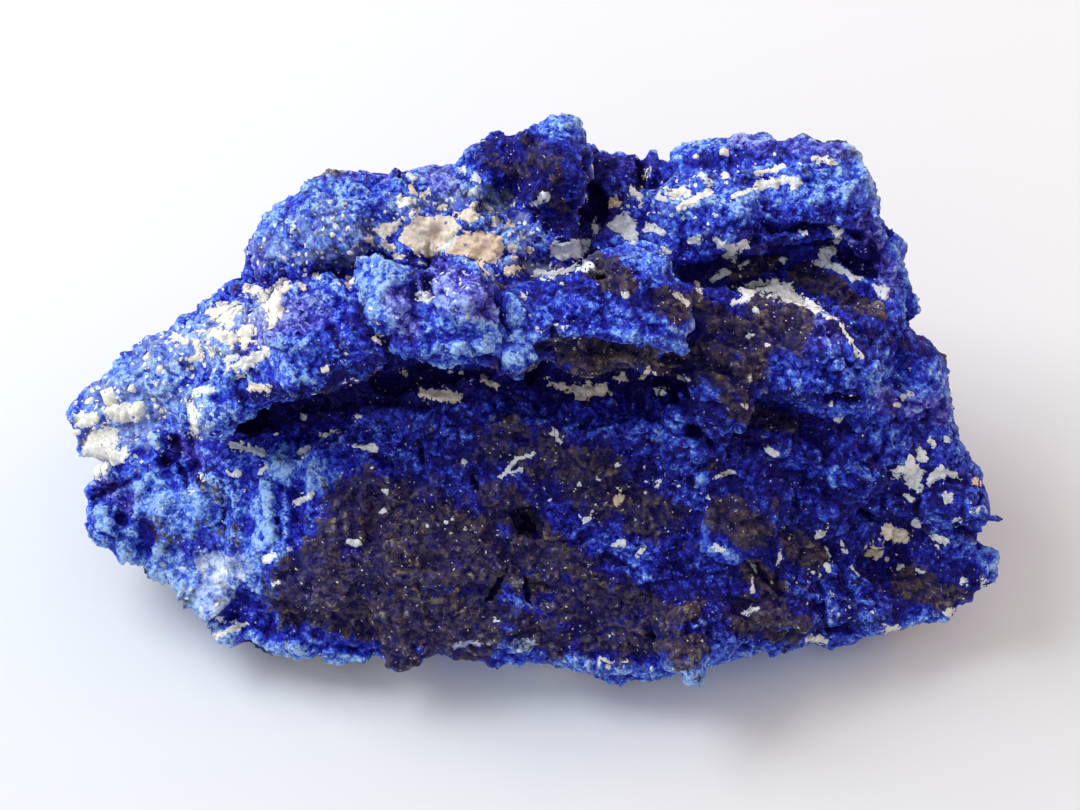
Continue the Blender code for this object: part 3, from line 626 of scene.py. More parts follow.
def growStone():
    rng = np.random.default_rng(stoneForm["seed"])
    core = stoneNode.data
    places, normals, _ = surfacePoints(core, stoneForm["blocks"], rng)
    sizes = mostlySmall(stoneForm, len(places), rng)
    pixels = toPixels(places)
    kinds = {"brown": softMask(pixels, brownMarks), "round": softMask(pixels, roundMarks),
             "groove": softMask(pixels, grooveMarks),
             "calm": calmShare(noiseAt(places, stoneForm["calmWidth"]))}
    bare = np.maximum.reduce([kinds[kind] * share for kind, share in stoneForm["bare"].items()])
    keep = (places[:, 2] > stoneForm["footClear"] + sizes) & (rng.random(len(places)) > bare)
    places, normals, sizes = places[keep], normals[keep], sizes[keep]
    places = places - normals * sizes[:, None] * stoneForm["sunk"]
    scales = unevenScales(stoneForm, sizes, rng)
    blocks = crumbShapes(*stoneForm["shapes"], rng)
    points, triangles, _ = scatterShapes(blocks, places, scales, rng)
    corePoints = coordsOf(core)
    mesh = meshFrom("azuriteStone", np.concatenate([corePoints, points]),
                    np.concatenate([trianglesOf(core), triangles + len(corePoints)]))
    stone = newObject("azuriteStone", mesh)
    remesh = stone.modifiers.new("grown", "REMESH")
    remesh.mode = "VOXEL"
    remesh.voxel_size = stoneForm["cell"]
    applyModifiers(stone)
    thinHiddenSide(stone)
    return stone


# How the surface is broken up, with heights and widths in mm.
relief = {
    "block": (0.72, 2.6),       # tilted faces of broken mineral
    "facet": (0.44, 1.1),       # and smaller ones on them
    "crevice": (0.30, 0.13),    # how deep and how wide the cracks between them are
    "bend": (0.5, 1.7),         # how far the faces are bent
    "flatter": {"brown": 0.6, "groove": 0.9, "round": 0.65, "calm": 0.45},  # on each kind of crust
    "knob": (0.34, 2.8),        # uneven knobs of the rounded crust
    "wrinkle": (0.10, 1.0),     # and wrinkles on them
    "ripple": (0.32, 3.4),      # uneven swells
    "grain": (0.10, 0.7),       # crumbs
    "bedding": (1.3, 4),        # how far the beds wander
    "plate": (0.80, 2.4),       # ledges of the brown face
    "plateRun": 0.4,            # the lower, the longer they run across
    "groove": (0.55, 1.3),      # upright grooves of the left front
    "grooveRun": 0.14,          # and the longer they run down
    "calm": 6.0,                # width of the smoother patches
    "footFlat": 0.8,            # the foot stays flat below this height
    "fray": ((3.0, 1.3), (2.0, 0.5)),   # how far an outline wanders in pixels, and over what width
    "openRays": 12,             # rays that tell how open a place is
    "openReach": 8.0,           # and how far they look
    "openStart": 0.35,          # and how far off the surface they start
    "crest": (2, 0.12),         # rounds of averaging, and the height that counts as full
    "brow": (18, 0.8),
}
grooveMarks = {"leftFront": (1.0, [(160, 470, 340, 500, 40), (150, 540, 300, 540, 40)])}

# What grows where: its marks and how soft they are, then the patches that stand in for them where
# the eye sees nothing, as a noise with its slope, start and strength.
crustKinds = {
    "brown": (brownMarks, 1.0, "broad", 5, -0.6, 0.9),
    "azure": (azureMarks, 1.0, "broad", -4, -0.08, 0.8),
    "sheenHighlight": (sheenHighlightMarks, 1.0, "broad", 0, 0, 0),
    "groove": (grooveMarks, 1.0, "broad", 0, 0, 0),
    "shadeAndDark": (shadeAndDarkMarks, 1.4, "middle", 3, -0.4, 0.6),
    "dustAndSheen": (dustAndSheenMarks, 1.4, "patches", 4, -0.64, 0.8),
    "round": (roundMarks, 1.0, "middle", -3, 0.5, 1),
    "violet": (violetMarks, 1.4, "middle", -2, 0.2, 0.6),
}

# Attributes that carry these to the shaders, up to three values in each.
channels = {
    "growth": ("brown", "azure", "sheenHighlight"),
    "form": ("crest", "brow", "pit"),
    "clay": ("clay", "tone"),
    "zone": ("open", "shadeAndDark", "dustAndSheen"),
    "hue": ("violet",),
}


def openShare(points, normals, tree):
    # 1 on open faces, falling towards 0 deep in a hollow.
    turn = math.pi * (3 - math.sqrt(5))
    count = relief["openRays"]
    rays = []
    for index in range(count):
        rise = math.sqrt((index + 0.5) / count)
        flat = math.sqrt(1 - rise * rise)
        rays.append(Vector((math.cos(index * turn) * flat, math.sin(index * turn) * flat, rise)))
    reach = relief["openReach"] * mm
    share = np.zeros(len(points))
    for place, (point, normal) in enumerate(zip(points, normals)):
        point, normal = Vector(point), Vector(normal)
        turned = normal.to_track_quat("Z", "Y")
        start = point + normal * relief["openStart"] * mm
        clear = 0
        for ray in rays:
            hit = tree.ray_cast(start, turned @ ray, reach)
            clear += 1 if hit[0] is None else (hit[3] / reach) ** 2
        share[place] = clear / count
    return share


def frayedPixels(points):
    # Where points are seen, moved about a little, so that no mark has a clean outline.
    pixels = toPixels(points)
    for reach, width in relief["fray"]:
        wander = [noise.noise_vector(Vector(p) / (width * mm)) for p in points]
        pixels += np.array(wander)[:, :2] * reach
    return pixels


def fieldsAt(points, seen):
    # Each mark where the eye sees it, and patches of noise elsewhere.
    pixels = frayedPixels(points)
    waves = {"broad": noiseAt(points, 11 * mm, (9, 2, 5)), "middle": noiseAt(points, 6 * mm, (1, 7, 3)),
             "patches": noiseAt(points, 7 * mm) + 0.45 * noiseAt(points, 2.2 * mm)}
    fields = {"pit": np.zeros(len(points)), "rise": np.zeros(len(points))}
    for name, (marks, spread, wave, slope, start, strength) in crustKinds.items():
        elsewhere = smooth(waves[wave] * slope + start) * strength
        fields[name] = softMask(pixels, marks, spread) * seen + (1 - seen) * elsewhere
    chips = noiseAt(points, 0.8 * mm)
    for depth, strokes in pitMarks.values():
        shape = smooth(strokeField(pixels, strokes) * 1.4 + 0.25 + chips)
        fields["pit"] = np.maximum(fields["pit"], depth * shape * seen)
    for height, strokes in riseMarks.values():
        rise = height * smooth(strokeField(pixels, strokes) * 1.3 + 0.3) * seen
        fields["rise"] = np.where(np.abs(rise) > np.abs(fields["rise"]), rise, fields["rise"])
    clay = np.full(len(points), -2.0)
    tone = np.zeros(len(points))
    for marks, fieldOf, fade in ((clayMarks, strokeField, 1), (clayPlates, plateField, 6)):
        for shade, shape in marks.values():
            field = fieldOf(pixels, shape) / fade
            tone = np.where(field > clay, shade, tone)
            clay = np.maximum(clay, field)
    fields["clay"] = np.where(seen > 0.05, clay - 0.25, (waves["patches"] - 0.36) * 3)
    fields["tone"] = np.where(seen > 0.05, tone, 0.35 + waves["broad"] * 0.6)
    return fields


def facetHeight(place, height, width):
    # Tilted faces with a crack along their edges.
    face, edge = facetAt(place / width, 17.3)
    depth, reach = relief["crevice"]
    return height * (face - depth * max(0, 1 - edge / reach))


def foldHeight(place, height, width):
    # Uneven lumps that meet in sharp valleys.
    broad = abs(noise.noise(place / width)) + 0.5 * abs(noise.noise(place * 2.1 / width))
    return height * (broad * 2.4 - 0.7)


def bentPlace(p, bend):
    reach, width = bend
    return p + noise.noise_vector(p / width) * reach


def reliefAt(points, fields):
    heights = np.zeros(len(points))
    rows = zip(points / mm, *(fields[kind] for kind in ("brown", "groove", "clay", "round")))
    for index, (p, brown, groove, clay, rounded) in enumerate(rows):
        p = Vector(p)
        bent = bentPlace(p, relief["bend"])
        kinds = {"brown": brown, "groove": groove, "round": rounded,
                 "calm": calmShare(noise.noise(p / relief["calm"]))}
        broken = 1
        for kind, share in relief["flatter"].items():
            broken *= 1 - share * kinds[kind]
        height = 0
        for name in ("block", "facet"):
            height += facetHeight(bent, *relief[name]) * (0.3 + 0.7 * broken)
        if rounded > 0.02:
            for name in ("knob", "wrinkle"):
                height += foldHeight(bent, *relief[name]) * rounded
        height += relief["ripple"][0] * noise.fractal(p / relief["ripple"][1], 0.8, 2.1, 3)
        height += relief["grain"][0] * noise.noise(p / relief["grain"][1])
        if brown > 0.02 or groove > 0.02:
            bed = bentPlace(p, relief["bedding"])
            across = Vector((bed.x * relief["plateRun"], bed.y, bed.z))
            plate = noise.noise(across / relief["plate"][1])
            height += relief["plate"][0] * brown * (abs(plate) * 1.6 - 0.4)
            down = Vector((bed.x, bed.y * relief["grooveRun"], bed.z * relief["grooveRun"]))
            flute = noise.noise(down / relief["groove"][1])
            height += relief["groove"][0] * groove * flute * 1.8
        heights[index] = height * (0.5 if clay > 0.3 else 1)
    return heights * mm


def shapeStone(stone):
    mesh = stone.data
    edges = edgesOf(mesh)
    points = spreadOut(coordsOf(mesh), edges, 1)
    setCoords(mesh, points)
    normals = spreadOut(normalsOf(mesh), edges, 2)
    normals /= np.linalg.norm(normals, axis=1)[:, None]
    seen = seenShare(points, normals, treeOf(stone), 4, edges)
    fields = fieldsAt(points, seen)
    rise = reliefAt(points, fields) + (fields["rise"] - fields["pit"]) * mm
    rise *= smooth((points[:, 2] / mm - 0.1) / relief["footFlat"])
    points = points + normals * rise[:, None]
    points[:, 2] = np.maximum(points[:, 2], 0)
    setCoords(mesh, points)
    normals = normalsOf(mesh)
    for name in ("crest", "brow"):          # how far each point stands out of its surroundings
        rounds, full = relief[name]
        above = ((points - spreadOut(points, edges, rounds)) * normals).sum(axis=1)
        fields[name] = np.clip(above / (full * mm), -1, 1)
    fields["open"] = spreadOut(openShare(points, normals, treeOf(stone)), edges, 1)
    print("relief:", round(float(seen.mean()), 3), "seen,", round(float(fields["open"].mean()), 3), "open")
    return fields


def feed(tree, value, socket):
    # A socket takes a plain value or a link.
    if isinstance(value, bpy.types.NodeSocket):
        tree.links.new(value, socket)
    else:
        socket.default_value = value


def addNode(tree, kind, inputs=None, **settings):
    node = tree.nodes.new(kind)
    for name, value in settings.items():
        setattr(node, name, value)
    for name, value in (inputs or {}).items():
        feed(tree, value, node.inputs[name])
    return node


def mathNode(tree, operation, *values, clamp=False):
    inputs = dict(enumerate(values))
    return addNode(tree, "ShaderNodeMath", inputs, operation=operation, use_clamp=clamp).outputs[0]


def vectorNode(tree, operation, *values):
    return addNode(tree, "ShaderNodeVectorMath", dict(enumerate(values)), operation=operation).outputs


def mixColor(tree, share, first, second):
    inputs = {"Factor": share, "A": first, "B": second}
    return addNode(tree, "ShaderNodeMix", inputs, data_type="RGBA").outputs["Result"]


def stepUp(tree, value, low, high):
    inputs = {"Value": value, "From Min": low, "From Max": high}
    return addNode(tree, "ShaderNodeMapRange", inputs, interpolation_type="SMOOTHSTEP").outputs["Result"]


def rampNode(tree, value, stops):
    node = addNode(tree, "ShaderNodeValToRGB", {"Fac": value})
    while len(node.color_ramp.elements) < len(stops):
        node.color_ramp.elements.new(0.5)
    for element, (place, color) in zip(node.color_ramp.elements, stops):
        element.position = place
        element.color = (*color, 1)
    return node.outputs["Color"]


def splitColor(tree, color):
    return addNode(tree, "ShaderNodeSeparateColor", {0: color}).outputs


def newGroup(name, numbers, outputs):
    # A shader group that reads a place and some numbers, and puts out values.
    group = bpy.data.node_groups.new(name, "ShaderNodeTree")
    group.interface.new_socket("Vector", in_out="INPUT", socket_type="NodeSocketVector")
    for socketName, value in numbers.items():
        socket = group.interface.new_socket(socketName, in_out="INPUT", socket_type="NodeSocketFloat")
        socket.default_value = value
    for socketName in outputs:
        group.interface.new_socket(socketName, in_out="OUTPUT", socket_type="NodeSocketFloat")
    given, out = group.nodes.new("NodeGroupInput").outputs, group.nodes.new("NodeGroupOutput").inputs
    return group, given, mathNode(group, "DIVIDE", 1.0, given["Size"]), out


def useGroup(tree, name, values):
    return addNode(tree, "ShaderNodeGroup", values, node_tree=groups[name]).outputs


def crystalGroup():
    # Small crystals packed together: a shade for each, and the height of its own tilted face.
    group, given, scale, out = newGroup("crystalFaces", {"Size": 0.5, "Tilt": 1.0},
                                        ["Shade", "Height", "Glint"])
    cells = addNode(group, "ShaderNodeTexVoronoi", {
        "Vector": given["Vector"], "Scale": scale, "Randomness": 1.0}).outputs
    parts = splitColor(group, cells["Color"])
    away = vectorNode(group, "SUBTRACT", given["Vector"], cells["Position"])[0]
    lean = vectorNode(group, "SUBTRACT", cells["Color"], (0.5, 0.5, 0.5))[0]
    face = vectorNode(group, "DOT_PRODUCT", away, lean)["Value"]
    feed(group, parts[0], out["Shade"])
    feed(group, mathNode(group, "MULTIPLY", face, given["Tilt"]), out["Height"])
    feed(group, parts[2], out["Glint"])
    return group


def raggedGroup():
    # A patch whose soft field is torn to a crisp, uneven edge.
    group, given, scale, out = newGroup(
        "raggedPatch", {"Field": 0.0, "Size": 1.0, "Tear": 1.0, "Edge": 0.08}, ["Mask"])
    rough = addNode(group, "ShaderNodeTexNoise", {
        "Vector": given["Vector"], "Scale": scale, "Detail": 4.0, "Roughness": 0.65}).outputs["Fac"]
    swing = mathNode(group, "MULTIPLY", mathNode(group, "SUBTRACT", rough, 0.5), given["Tear"])
    total = mathNode(group, "ADD", given["Field"], swing)
    crisp = mathNode(group, "DIVIDE", total, given["Edge"])
    feed(group, mathNode(group, "ADD", crisp, 0.5, clamp=True), out["Mask"])
    return group


def fleckGroup():
    # Scattered flecks: Share is how many of the cells hold one.
    group, given, scale, out = newGroup("flecks", {"Size": 0.5, "Share": 0.1, "Reach": 0.4}, ["Mask"])
    warp = addNode(group, "ShaderNodeTexNoise", {
        "Vector": given["Vector"], "Detail": 2.0,
        "Scale": mathNode(group, "DIVIDE", 1.6, given["Size"])}).outputs["Color"]
    bent = vectorNode(group, "MULTIPLY_ADD", warp, (0.6, 0.6, 0.6), given["Vector"])[0]
    cells = addNode(group, "ShaderNodeTexVoronoi", {
        "Vector": bent, "Scale": scale, "Randomness": 1.0}).outputs
    chosen = mathNode(group, "LESS_THAN", splitColor(group, cells["Color"])[0], given["Share"])
    near = mathNode(group, "LESS_THAN", cells["Distance"], given["Reach"])
    feed(group, mathNode(group, "MULTIPLY", chosen, near), out["Mask"])
    return group


groups = {"crystal": crystalGroup(), "ragged": raggedGroup(), "fleck": fleckGroup()}


def millimetres(tree):
    # Places on the object, in millimetres.
    place = addNode(tree, "ShaderNodeTexCoord").outputs["Object"]
    inputs = {0: place, "Scale": 1 / mm}
    return addNode(tree, "ShaderNodeVectorMath", inputs, operation="SCALE").outputs[0]


def noiseNode(tree, vector, size, detail, roughness):
    inputs = {"Vector": vector, "Scale": 1 / size, "Detail": detail, "Roughness": roughness}
    return addNode(tree, "ShaderNodeTexNoise", inputs).outputs["Fac"]


def newMaterial(name):
    made = bpy.data.materials.new(name)
    made.use_nodes = True
    return made, made.node_tree, made.node_tree.nodes["Principled BSDF"].inputs


def bumpNode(tree, height, distance, strength, normal=None):
    inputs = {"Height": height, "Strength": strength, "Distance": distance * mm}
    if normal is not None:
        inputs["Normal"] = normal
    return addNode(tree, "ShaderNodeBump", inputs).outputs["Normal"]


def weighed(tree, start, shares, read):
    # start plus the share of each value that is read.
    total = start
    for name, share in shares.items():
        total = mathNode(tree, "ADD", total, mathNode(tree, "MULTIPLY", read[name], share))
    return total


def tornPatch(tree, place, patch, read):
    start, shares, size, tear, edge = patch
    return useGroup(tree, "ragged", {"Vector": place, "Field": weighed(tree, start, shares, read),
                                     "Size": size, "Tear": tear, "Edge": edge})["Mask"]


def fleckMask(tree, place, size, share, reach):
    return useGroup(tree, "fleck", {"Vector": place, "Size": size, "Share": share, "Reach": reach})["Mask"]


def creaseLines(tree, place, texture, low, high):
    # 0 along the lines where a noise crosses its middle, 1 away from them.
    lines = mathNode(tree, "SUBTRACT", noiseNode(tree, place, *texture), 0.5)
    return stepUp(tree, mathNode(tree, "ABSOLUTE", lines), low, high)


def readParts(tree, carried):
    # The values that the mesh carries in its attributes.
    read = {}
    for name, parts in carried.items():
        attribute = addNode(tree, "ShaderNodeAttribute", attribute_name=name)
        read.update(zip(parts, splitColor(tree, attribute.outputs["Color"])))
    return read


clayTones = [(0.0, (0.84, 0.88, 0.93)), (0.35, (0.94, 0.90, 0.79)), (0.7, (0.95, 0.82, 0.66)),
             (1.0, (0.92, 0.70, 0.50))]
# On the crust this is also laid as a painted sheen on the front faces.
dusty = (0.46, 0.55, 0.62, 1)       # clay dust on blue

# The crust: colours, and what each patch on it reads. A patch starts at a level, adds shares of
# what is read there, and has the size, tear and edge of its outline.
crust = {
    "blues": [(0.0, (0.005, 0.003, 0.13)), (0.20, (0.009, 0.007, 0.29)), (0.40, (0.018, 0.021, 0.48)),
              (0.60, (0.040, 0.088, 0.70)), (0.80, (0.13, 0.28, 0.90)), (1.0, (0.43, 0.65, 0.98))],
    "violets": [(0.0, (0.009, 0.003, 0.09)), (0.25, (0.022, 0.011, 0.24)), (0.50, (0.060, 0.048, 0.46)),
                (0.75, (0.17, 0.18, 0.74)), (1.0, (0.44, 0.52, 0.92))],
    "browns": [(0.0, (0.006, 0.003, 0.065)), (0.35, (0.022, 0.013, 0.075)),
               (0.70, (0.092, 0.062, 0.066)), (1.0, (0.36, 0.28, 0.21))],
    "sheenHighlightColors": [(0.38, (0.10, 0.18, 0.72)), (0.50, (0.50, 0.62, 0.92)), (0.60, (0.90, 0.94, 1.0))],
    # Near black laid where the shade marks are: painted shade.
    "shadeBlack": (0.006, 0.003, 0.12, 1),
    "powder": (0.18, 0.35, 0.93, 1),
    "pitShade": (0.004, 0.002, 0.09, 1),
    "crystals": {"fine": 0.26, "coarse": 0.75},         # mm across
    "noises": {"broad": (5.0, 6.0, 0.66), "mottle": (1.5, 6.0, 0.72)},  # mm, detail, roughness
    "veins": ((2.4, 5.0, 0.72), 0.008, 0.035),          # a noise, and how wide its lines are
    "grit": (0.14, 2.0, 0.6),
    # Crest and brow make raised places lighter and open makes hollows darker, in the tone and in the patches
    # below: painted light and shade. The powder patch grows on crests and open places, so it is partly
    # painted light.
    "tone": {"azure": 0.22, "crest": 0.20, "brow": 0.10, "open": 0.90, "shadeAndDark": -0.42, "brown": -0.30,
             "vein": 0.16},
    # The brown field's share lifts the lower front face to a lighter brown: painted reflection.
    "brownTone": (-0.84, {"fine": 0.26, "coarse": 0.26, "mottle": 0.80, "crest": 0.26, "open": 0.06,
                          "brown": 0.14, "broad": 0.9}),
    "clayTone": (-0.25, {"tone": 1.0, "mottle": 0.5}),
    "gloss": (0.58, {"glint": -0.42, "pale": 0.3, "sheenHighlightPatch": -0.2}),
    "brownKept": (1.0, {"bits": -0.85, "vein": -0.22}),  # of a brown face, where blue shows through
    "violetPatch": (-0.62, {"violet": 0.8, "broad": 0.5}, 1.6, 1.2, 0.5),
    "powderPatch": (-1.30, {"azure": 0.64, "crest": 0.22, "brow": 0.12, "open": 0.6, "shadeAndDark": -0.4},
                    0.45, 2.2, 0.5),
    "brownPatch": (-0.58, {"brown": 1.16, "crest": 0.22, "mottle": 0.2}, 2.2, 2.6, 0.3),
    "shadeBlackPatch": (-0.32, {"shadeAndDark": 0.75, "crest": -0.16, "azure": -0.3, "vein": -0.5}, 1.3, 1.6, 0.2),
    "bitsPatch": (-0.42, {"crest": -0.12, "broad": 0.3}, 2.8, 1.7, 0.2),
    "sheenHighlightPatch": (-0.5, {"sheenHighlight": 1.0}, 0.8, 2.0, 0.4),
    "dustAndSheenPatch": (-0.62, {"dustAndSheen": 0.7}, 0.9, 1.5, 0.4),
    "strength": {"powder": 0.32, "shadeBlack": 0.85, "dustAndSheen": 0.42},
    "crumbs": (0.6, 0.34, 0.38),                        # flecks: size, share on dust, reach
    # Pale specks, partly clay and partly painted glints, with more of them on brown faces.
    "specksAndGlints": (0.36, {"brown": 0.05}, 0.24),            # size, share besides the finish's, reach
    "glints": (0.76, 0.80),
    "bumps": {"faces": 0.9, "grit": (0.05, 0.6)},       # mm, and strength
    "sheen": {"Sheen Weight": 0.02, "Sheen Roughness": 0.45, "Sheen Tint": (0.45, 0.60, 1.0, 1)},
}
stoneFinish = {"lift": -1.02, "tone": {"fine": 0.36, "coarse": 0.26, "broad": 0.40, "mottle": 0.34},
               "clayPatch": (0.0, {"clay": 1.0}, 0.6, 2.0, 0.14), "specksAndGlints": 0.05, "facets": 1.0,
               "shine": 0.16}
grainFinish = {"lift": -0.76, "tone": {"fine": 0.30, "coarse": 0.30, "broad": 0.24, "mottle": 0.14},
               "clayPatch": (0.0, {"clay": 1.0}, 0.6, 0.6, 0.14), "specksAndGlints": 0.0, "facets": 0.5,
               "shine": 0.6}


def crustMaterial(name, finish):
    made, tree, shader = newMaterial(name)
    place = millimetres(tree)
    read = readParts(tree, channels)
    crystals = {}
    for kind, size in crust["crystals"].items():
        crystals[kind] = useGroup(tree, "crystal", {"Vector": place, "Size": size, "Tilt": 1.0})
        read[kind] = crystals[kind]["Shade"]
    for kind, texture in crust["noises"].items():
        read[kind] = noiseNode(tree, place, *texture)
    read["vein"] = mathNode(tree, "SUBTRACT", 1.0, creaseLines(tree, place, *crust["veins"]))

    def mask(kind):
        return tornPatch(tree, place, crust[kind + "Patch"], read)

    def partly(share, kind):
        return mathNode(tree, "MULTIPLY", share, crust["strength"][kind])

    tone = weighed(tree, finish["lift"], {**finish["tone"], **crust["tone"]}, read)
    color = rampNode(tree, tone, crust["blues"])
    color = mixColor(tree, mask("violet"), color, rampNode(tree, tone, crust["violets"]))
    color = mixColor(tree, partly(mask("powder"), "powder"), color, crust["powder"])
    # Painted shade: near black where the shade marks are.
    color = mixColor(tree, partly(mask("shadeBlack"), "shadeBlack"), color, crust["shadeBlack"])
    read["bits"] = mask("bits")
    kept = weighed(tree, *crust["brownKept"], read)
    brownShare = mathNode(tree, "MULTIPLY", mask("brown"), kept, clamp=True)
    brownTone = weighed(tree, *crust["brownTone"], read)
    color = mixColor(tree, brownShare, color, rampNode(tree, brownTone, crust["browns"]))
    # Painted highlight: pale where the sheen marks are.
    read["sheenHighlightPatch"] = mask("sheenHighlight")
    color = mixColor(tree, read["sheenHighlightPatch"], color, rampNode(tree, read["mottle"], crust["sheenHighlightColors"]))
    color = mixColor(tree, partly(mask("dustAndSheen"), "dustAndSheen"), color, dusty)

    size, onDust, reach = crust["crumbs"]
    crumbMask = fleckMask(tree, place, size, mathNode(tree, "MULTIPLY", read["dustAndSheen"], onDust), reach)
    size, shares, reach = crust["specksAndGlints"]
    speckAndGlintMask = fleckMask(tree, place, size, weighed(tree, finish["specksAndGlints"], shares, read), reach)
    clayMask = tornPatch(tree, place, finish["clayPatch"], read)
    clayShade = rampNode(tree, weighed(tree, *crust["clayTone"], read), clayTones)
    read["pale"] = mathNode(tree, "MAXIMUM", mathNode(tree, "MAXIMUM", clayMask, crumbMask), speckAndGlintMask)
    color = mixColor(tree, read["pale"], color, clayShade)
    # Painted shade: near black inside the pits.
    color = mixColor(tree, stepUp(tree, read["pit"], 0.1, 0.6), color, crust["pitShade"])
    feed(tree, color, shader["Base Color"])

    read["glint"] = stepUp(tree, crystals["fine"]["Glint"], *crust["glints"])
    feed(tree, weighed(tree, *crust["gloss"], read), shader["Roughness"])
    shader["Specular IOR Level"].default_value = finish["shine"]
    for socket, value in crust["sheen"].items():
        shader[socket].default_value = value

    normal, bumps = None, crust["bumps"]
    for kind in ("coarse", "fine"):
        normal = bumpNode(tree, crystals[kind]["Height"], bumps["faces"], finish["facets"], normal)
    normal = bumpNode(tree, noiseNode(tree, place, *crust["grit"]), *bumps["grit"], normal)
    feed(tree, normal, shader["Normal"])
    return made


clayFinish = {
    "noises": {"mottle": (1.1, 4.0, 0.6), "powder": (0.22, 3.0, 0.6)},
    "tone": (-0.22, {"tone": 1.0, "mottle": 0.45}),
    "stainPatch": (-0.20, {"inner": -0.55}, 0.5, 1.3, 0.35),    # dusty, towards a flake's rim
    "stain": 0.45,
    "dots": (0.5, 0.07, 0.34),          # blue flecks: size, share, reach
    "dotColor": (0.018, 0.021, 0.48, 1),
    "dotStrength": 0.8,
    "creases": ((0.9, 5.0, 0.7), 0.0, 0.035),
    "creaseColor": (0.50, 0.42, 0.38, 1),
    "creaseShare": (0.70, {"crease": 0.30}),
    "roughness": (0.72, {"powder": 0.2}),
    "height": (0.0, {"mottle": 1.0, "powder": 0.35, "crease": 0.12}),
    "bump": (0.26, 0.8),                # mm, and strength
}


def clayMaterial():
    made, tree, shader = newMaterial("paleClay")
    place = millimetres(tree)
    read = readParts(tree, {"clay": ("tone", "inner")})
    for kind, texture in clayFinish["noises"].items():
        read[kind] = noiseNode(tree, place, *texture)
    read["crease"] = creaseLines(tree, place, *clayFinish["creases"])
    color = rampNode(tree, weighed(tree, *clayFinish["tone"], read), clayTones)
    stain = tornPatch(tree, place, clayFinish["stainPatch"], read)
    color = mixColor(tree, mathNode(tree, "MULTIPLY", stain, clayFinish["stain"]), color, dusty)
    dots = mathNode(tree, "MULTIPLY", fleckMask(tree, place, *clayFinish["dots"]), clayFinish["dotStrength"])
    color = mixColor(tree, dots, color, clayFinish["dotColor"])
    color = mixColor(tree, weighed(tree, *clayFinish["creaseShare"], read), clayFinish["creaseColor"], color)
    feed(tree, color, shader["Base Color"])
    feed(tree, weighed(tree, *clayFinish["roughness"], read), shader["Roughness"])
    normal = bumpNode(tree, weighed(tree, *clayFinish["height"], read), *clayFinish["bump"])
    feed(tree, normal, shader["Normal"])
    return made


def storeFields(mesh, fields):
    for name, parts in channels.items():
        storeColors(mesh, name, [fields[part] for part in parts])


def buildStone():
    stone = growStone()
    fields = shapeStone(stone)
    storeFields(stone.data, fields)
    stone.data.materials.append(crustMaterial("azuriteCrust", stoneFinish))
    stone.data.shade_smooth()
    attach(stone, "root")
    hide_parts("azurite_specimen")
    print("stone:", len(stone.data.vertices), "points,", len(trianglesOf(stone.data)), "triangles")
    return stone, fields


stone, fields = buildStone()
stoneTree = treeOf(stone)


grains = {
    "count": 20000,
    "size": (0.08, 0.30),       # mm, half across
    "mostlySmall": 2.0,
    "uneven": (0.6, 1.4),
    "shapes": (12, 6),          # how many different ones, and their corners
    "sunk": 0.4,                # share of its size that a grain sits below the surface
    "onBrown": 0.3,             # how many stay on brown faces and on clay
    "onClay": 0.1,
    "lift": (-0.4, 0.6),        # how much brighter or darker than the stone
    "footClear": 1.0 * mm,
    "seed": 23,
}


def buildGrains():
    rng = np.random.default_rng(grains["seed"])
    places, normals, near = surfacePoints(stone.data, grains["count"], rng)
    sizes = mostlySmall(grains, len(places), rng)
    stays = 1 - fields["brown"][near] * (1 - grains["onBrown"])
    stays = np.where(fields["clay"][near] > 0.1, grains["onClay"], stays)
    stays *= fields["pit"][near] < 0.3
    keep = (rng.random(len(places)) < stays) & (places[:, 2] > grains["footClear"])
    places, normals, near, sizes = places[keep], normals[keep], near[keep], sizes[keep]
    places = places - normals * (sizes * grains["sunk"])[:, None]
    scales = unevenScales(grains, sizes, rng)
    blocks = crumbShapes(*grains["shapes"], rng)
    points, triangles, owners = scatterShapes(blocks, places, scales, rng)
    mesh = meshFrom("azuriteGrains", points, triangles)
    own = {name: values[near[owners]] for name, values in fields.items()}
    own |= {"crest": rng.uniform(*grains["lift"], len(places))[owners], "clay": -2, "pit": 0, "dustAndSheen": 0}
    storeFields(mesh, own)
    mesh.materials.append(crustMaterial("azuriteGrain", grainFinish))
    made = newObject("azuriteGrains", mesh)
    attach(made, "root")
    print("grains:", len(places), "of them,", len(triangles), "triangles")


buildGrains()


# Thin plates of clay, laid where the marks are.
flakes = {
    "step": 1.25,               # pixels between points
    "sway": (3.0, 11.0),        # how far an outline strays in pixels, and over what width
    "chips": (5.5, 6.0),        # and how far its broken corners stand out
    "narrow": (0.50, 9),        # a narrow one strays less
    "plateWidth": 5,            # how wide a plate counts for that
    "past": 6,                  # pixels past a mark that are looked at
    "rim": 1.4,                 # pixels past its outline that a flake thins out over
    "thick": 0.11,              # mm at the rim
    "crown": 0.03,              # mm more in the middle of a wide one
    "lumps": (0.09, 1.6),       # mm high and wide
    "sunk": 0.06,               # mm that the outline is pressed in
    "under": 0.40,              # mm that its underside is in the stone
    "jump": 0.55,               # mm, a step in the stone that no flake crosses
    "footClear": 0.02 * mm,
}
paleClay = clayMaterial()


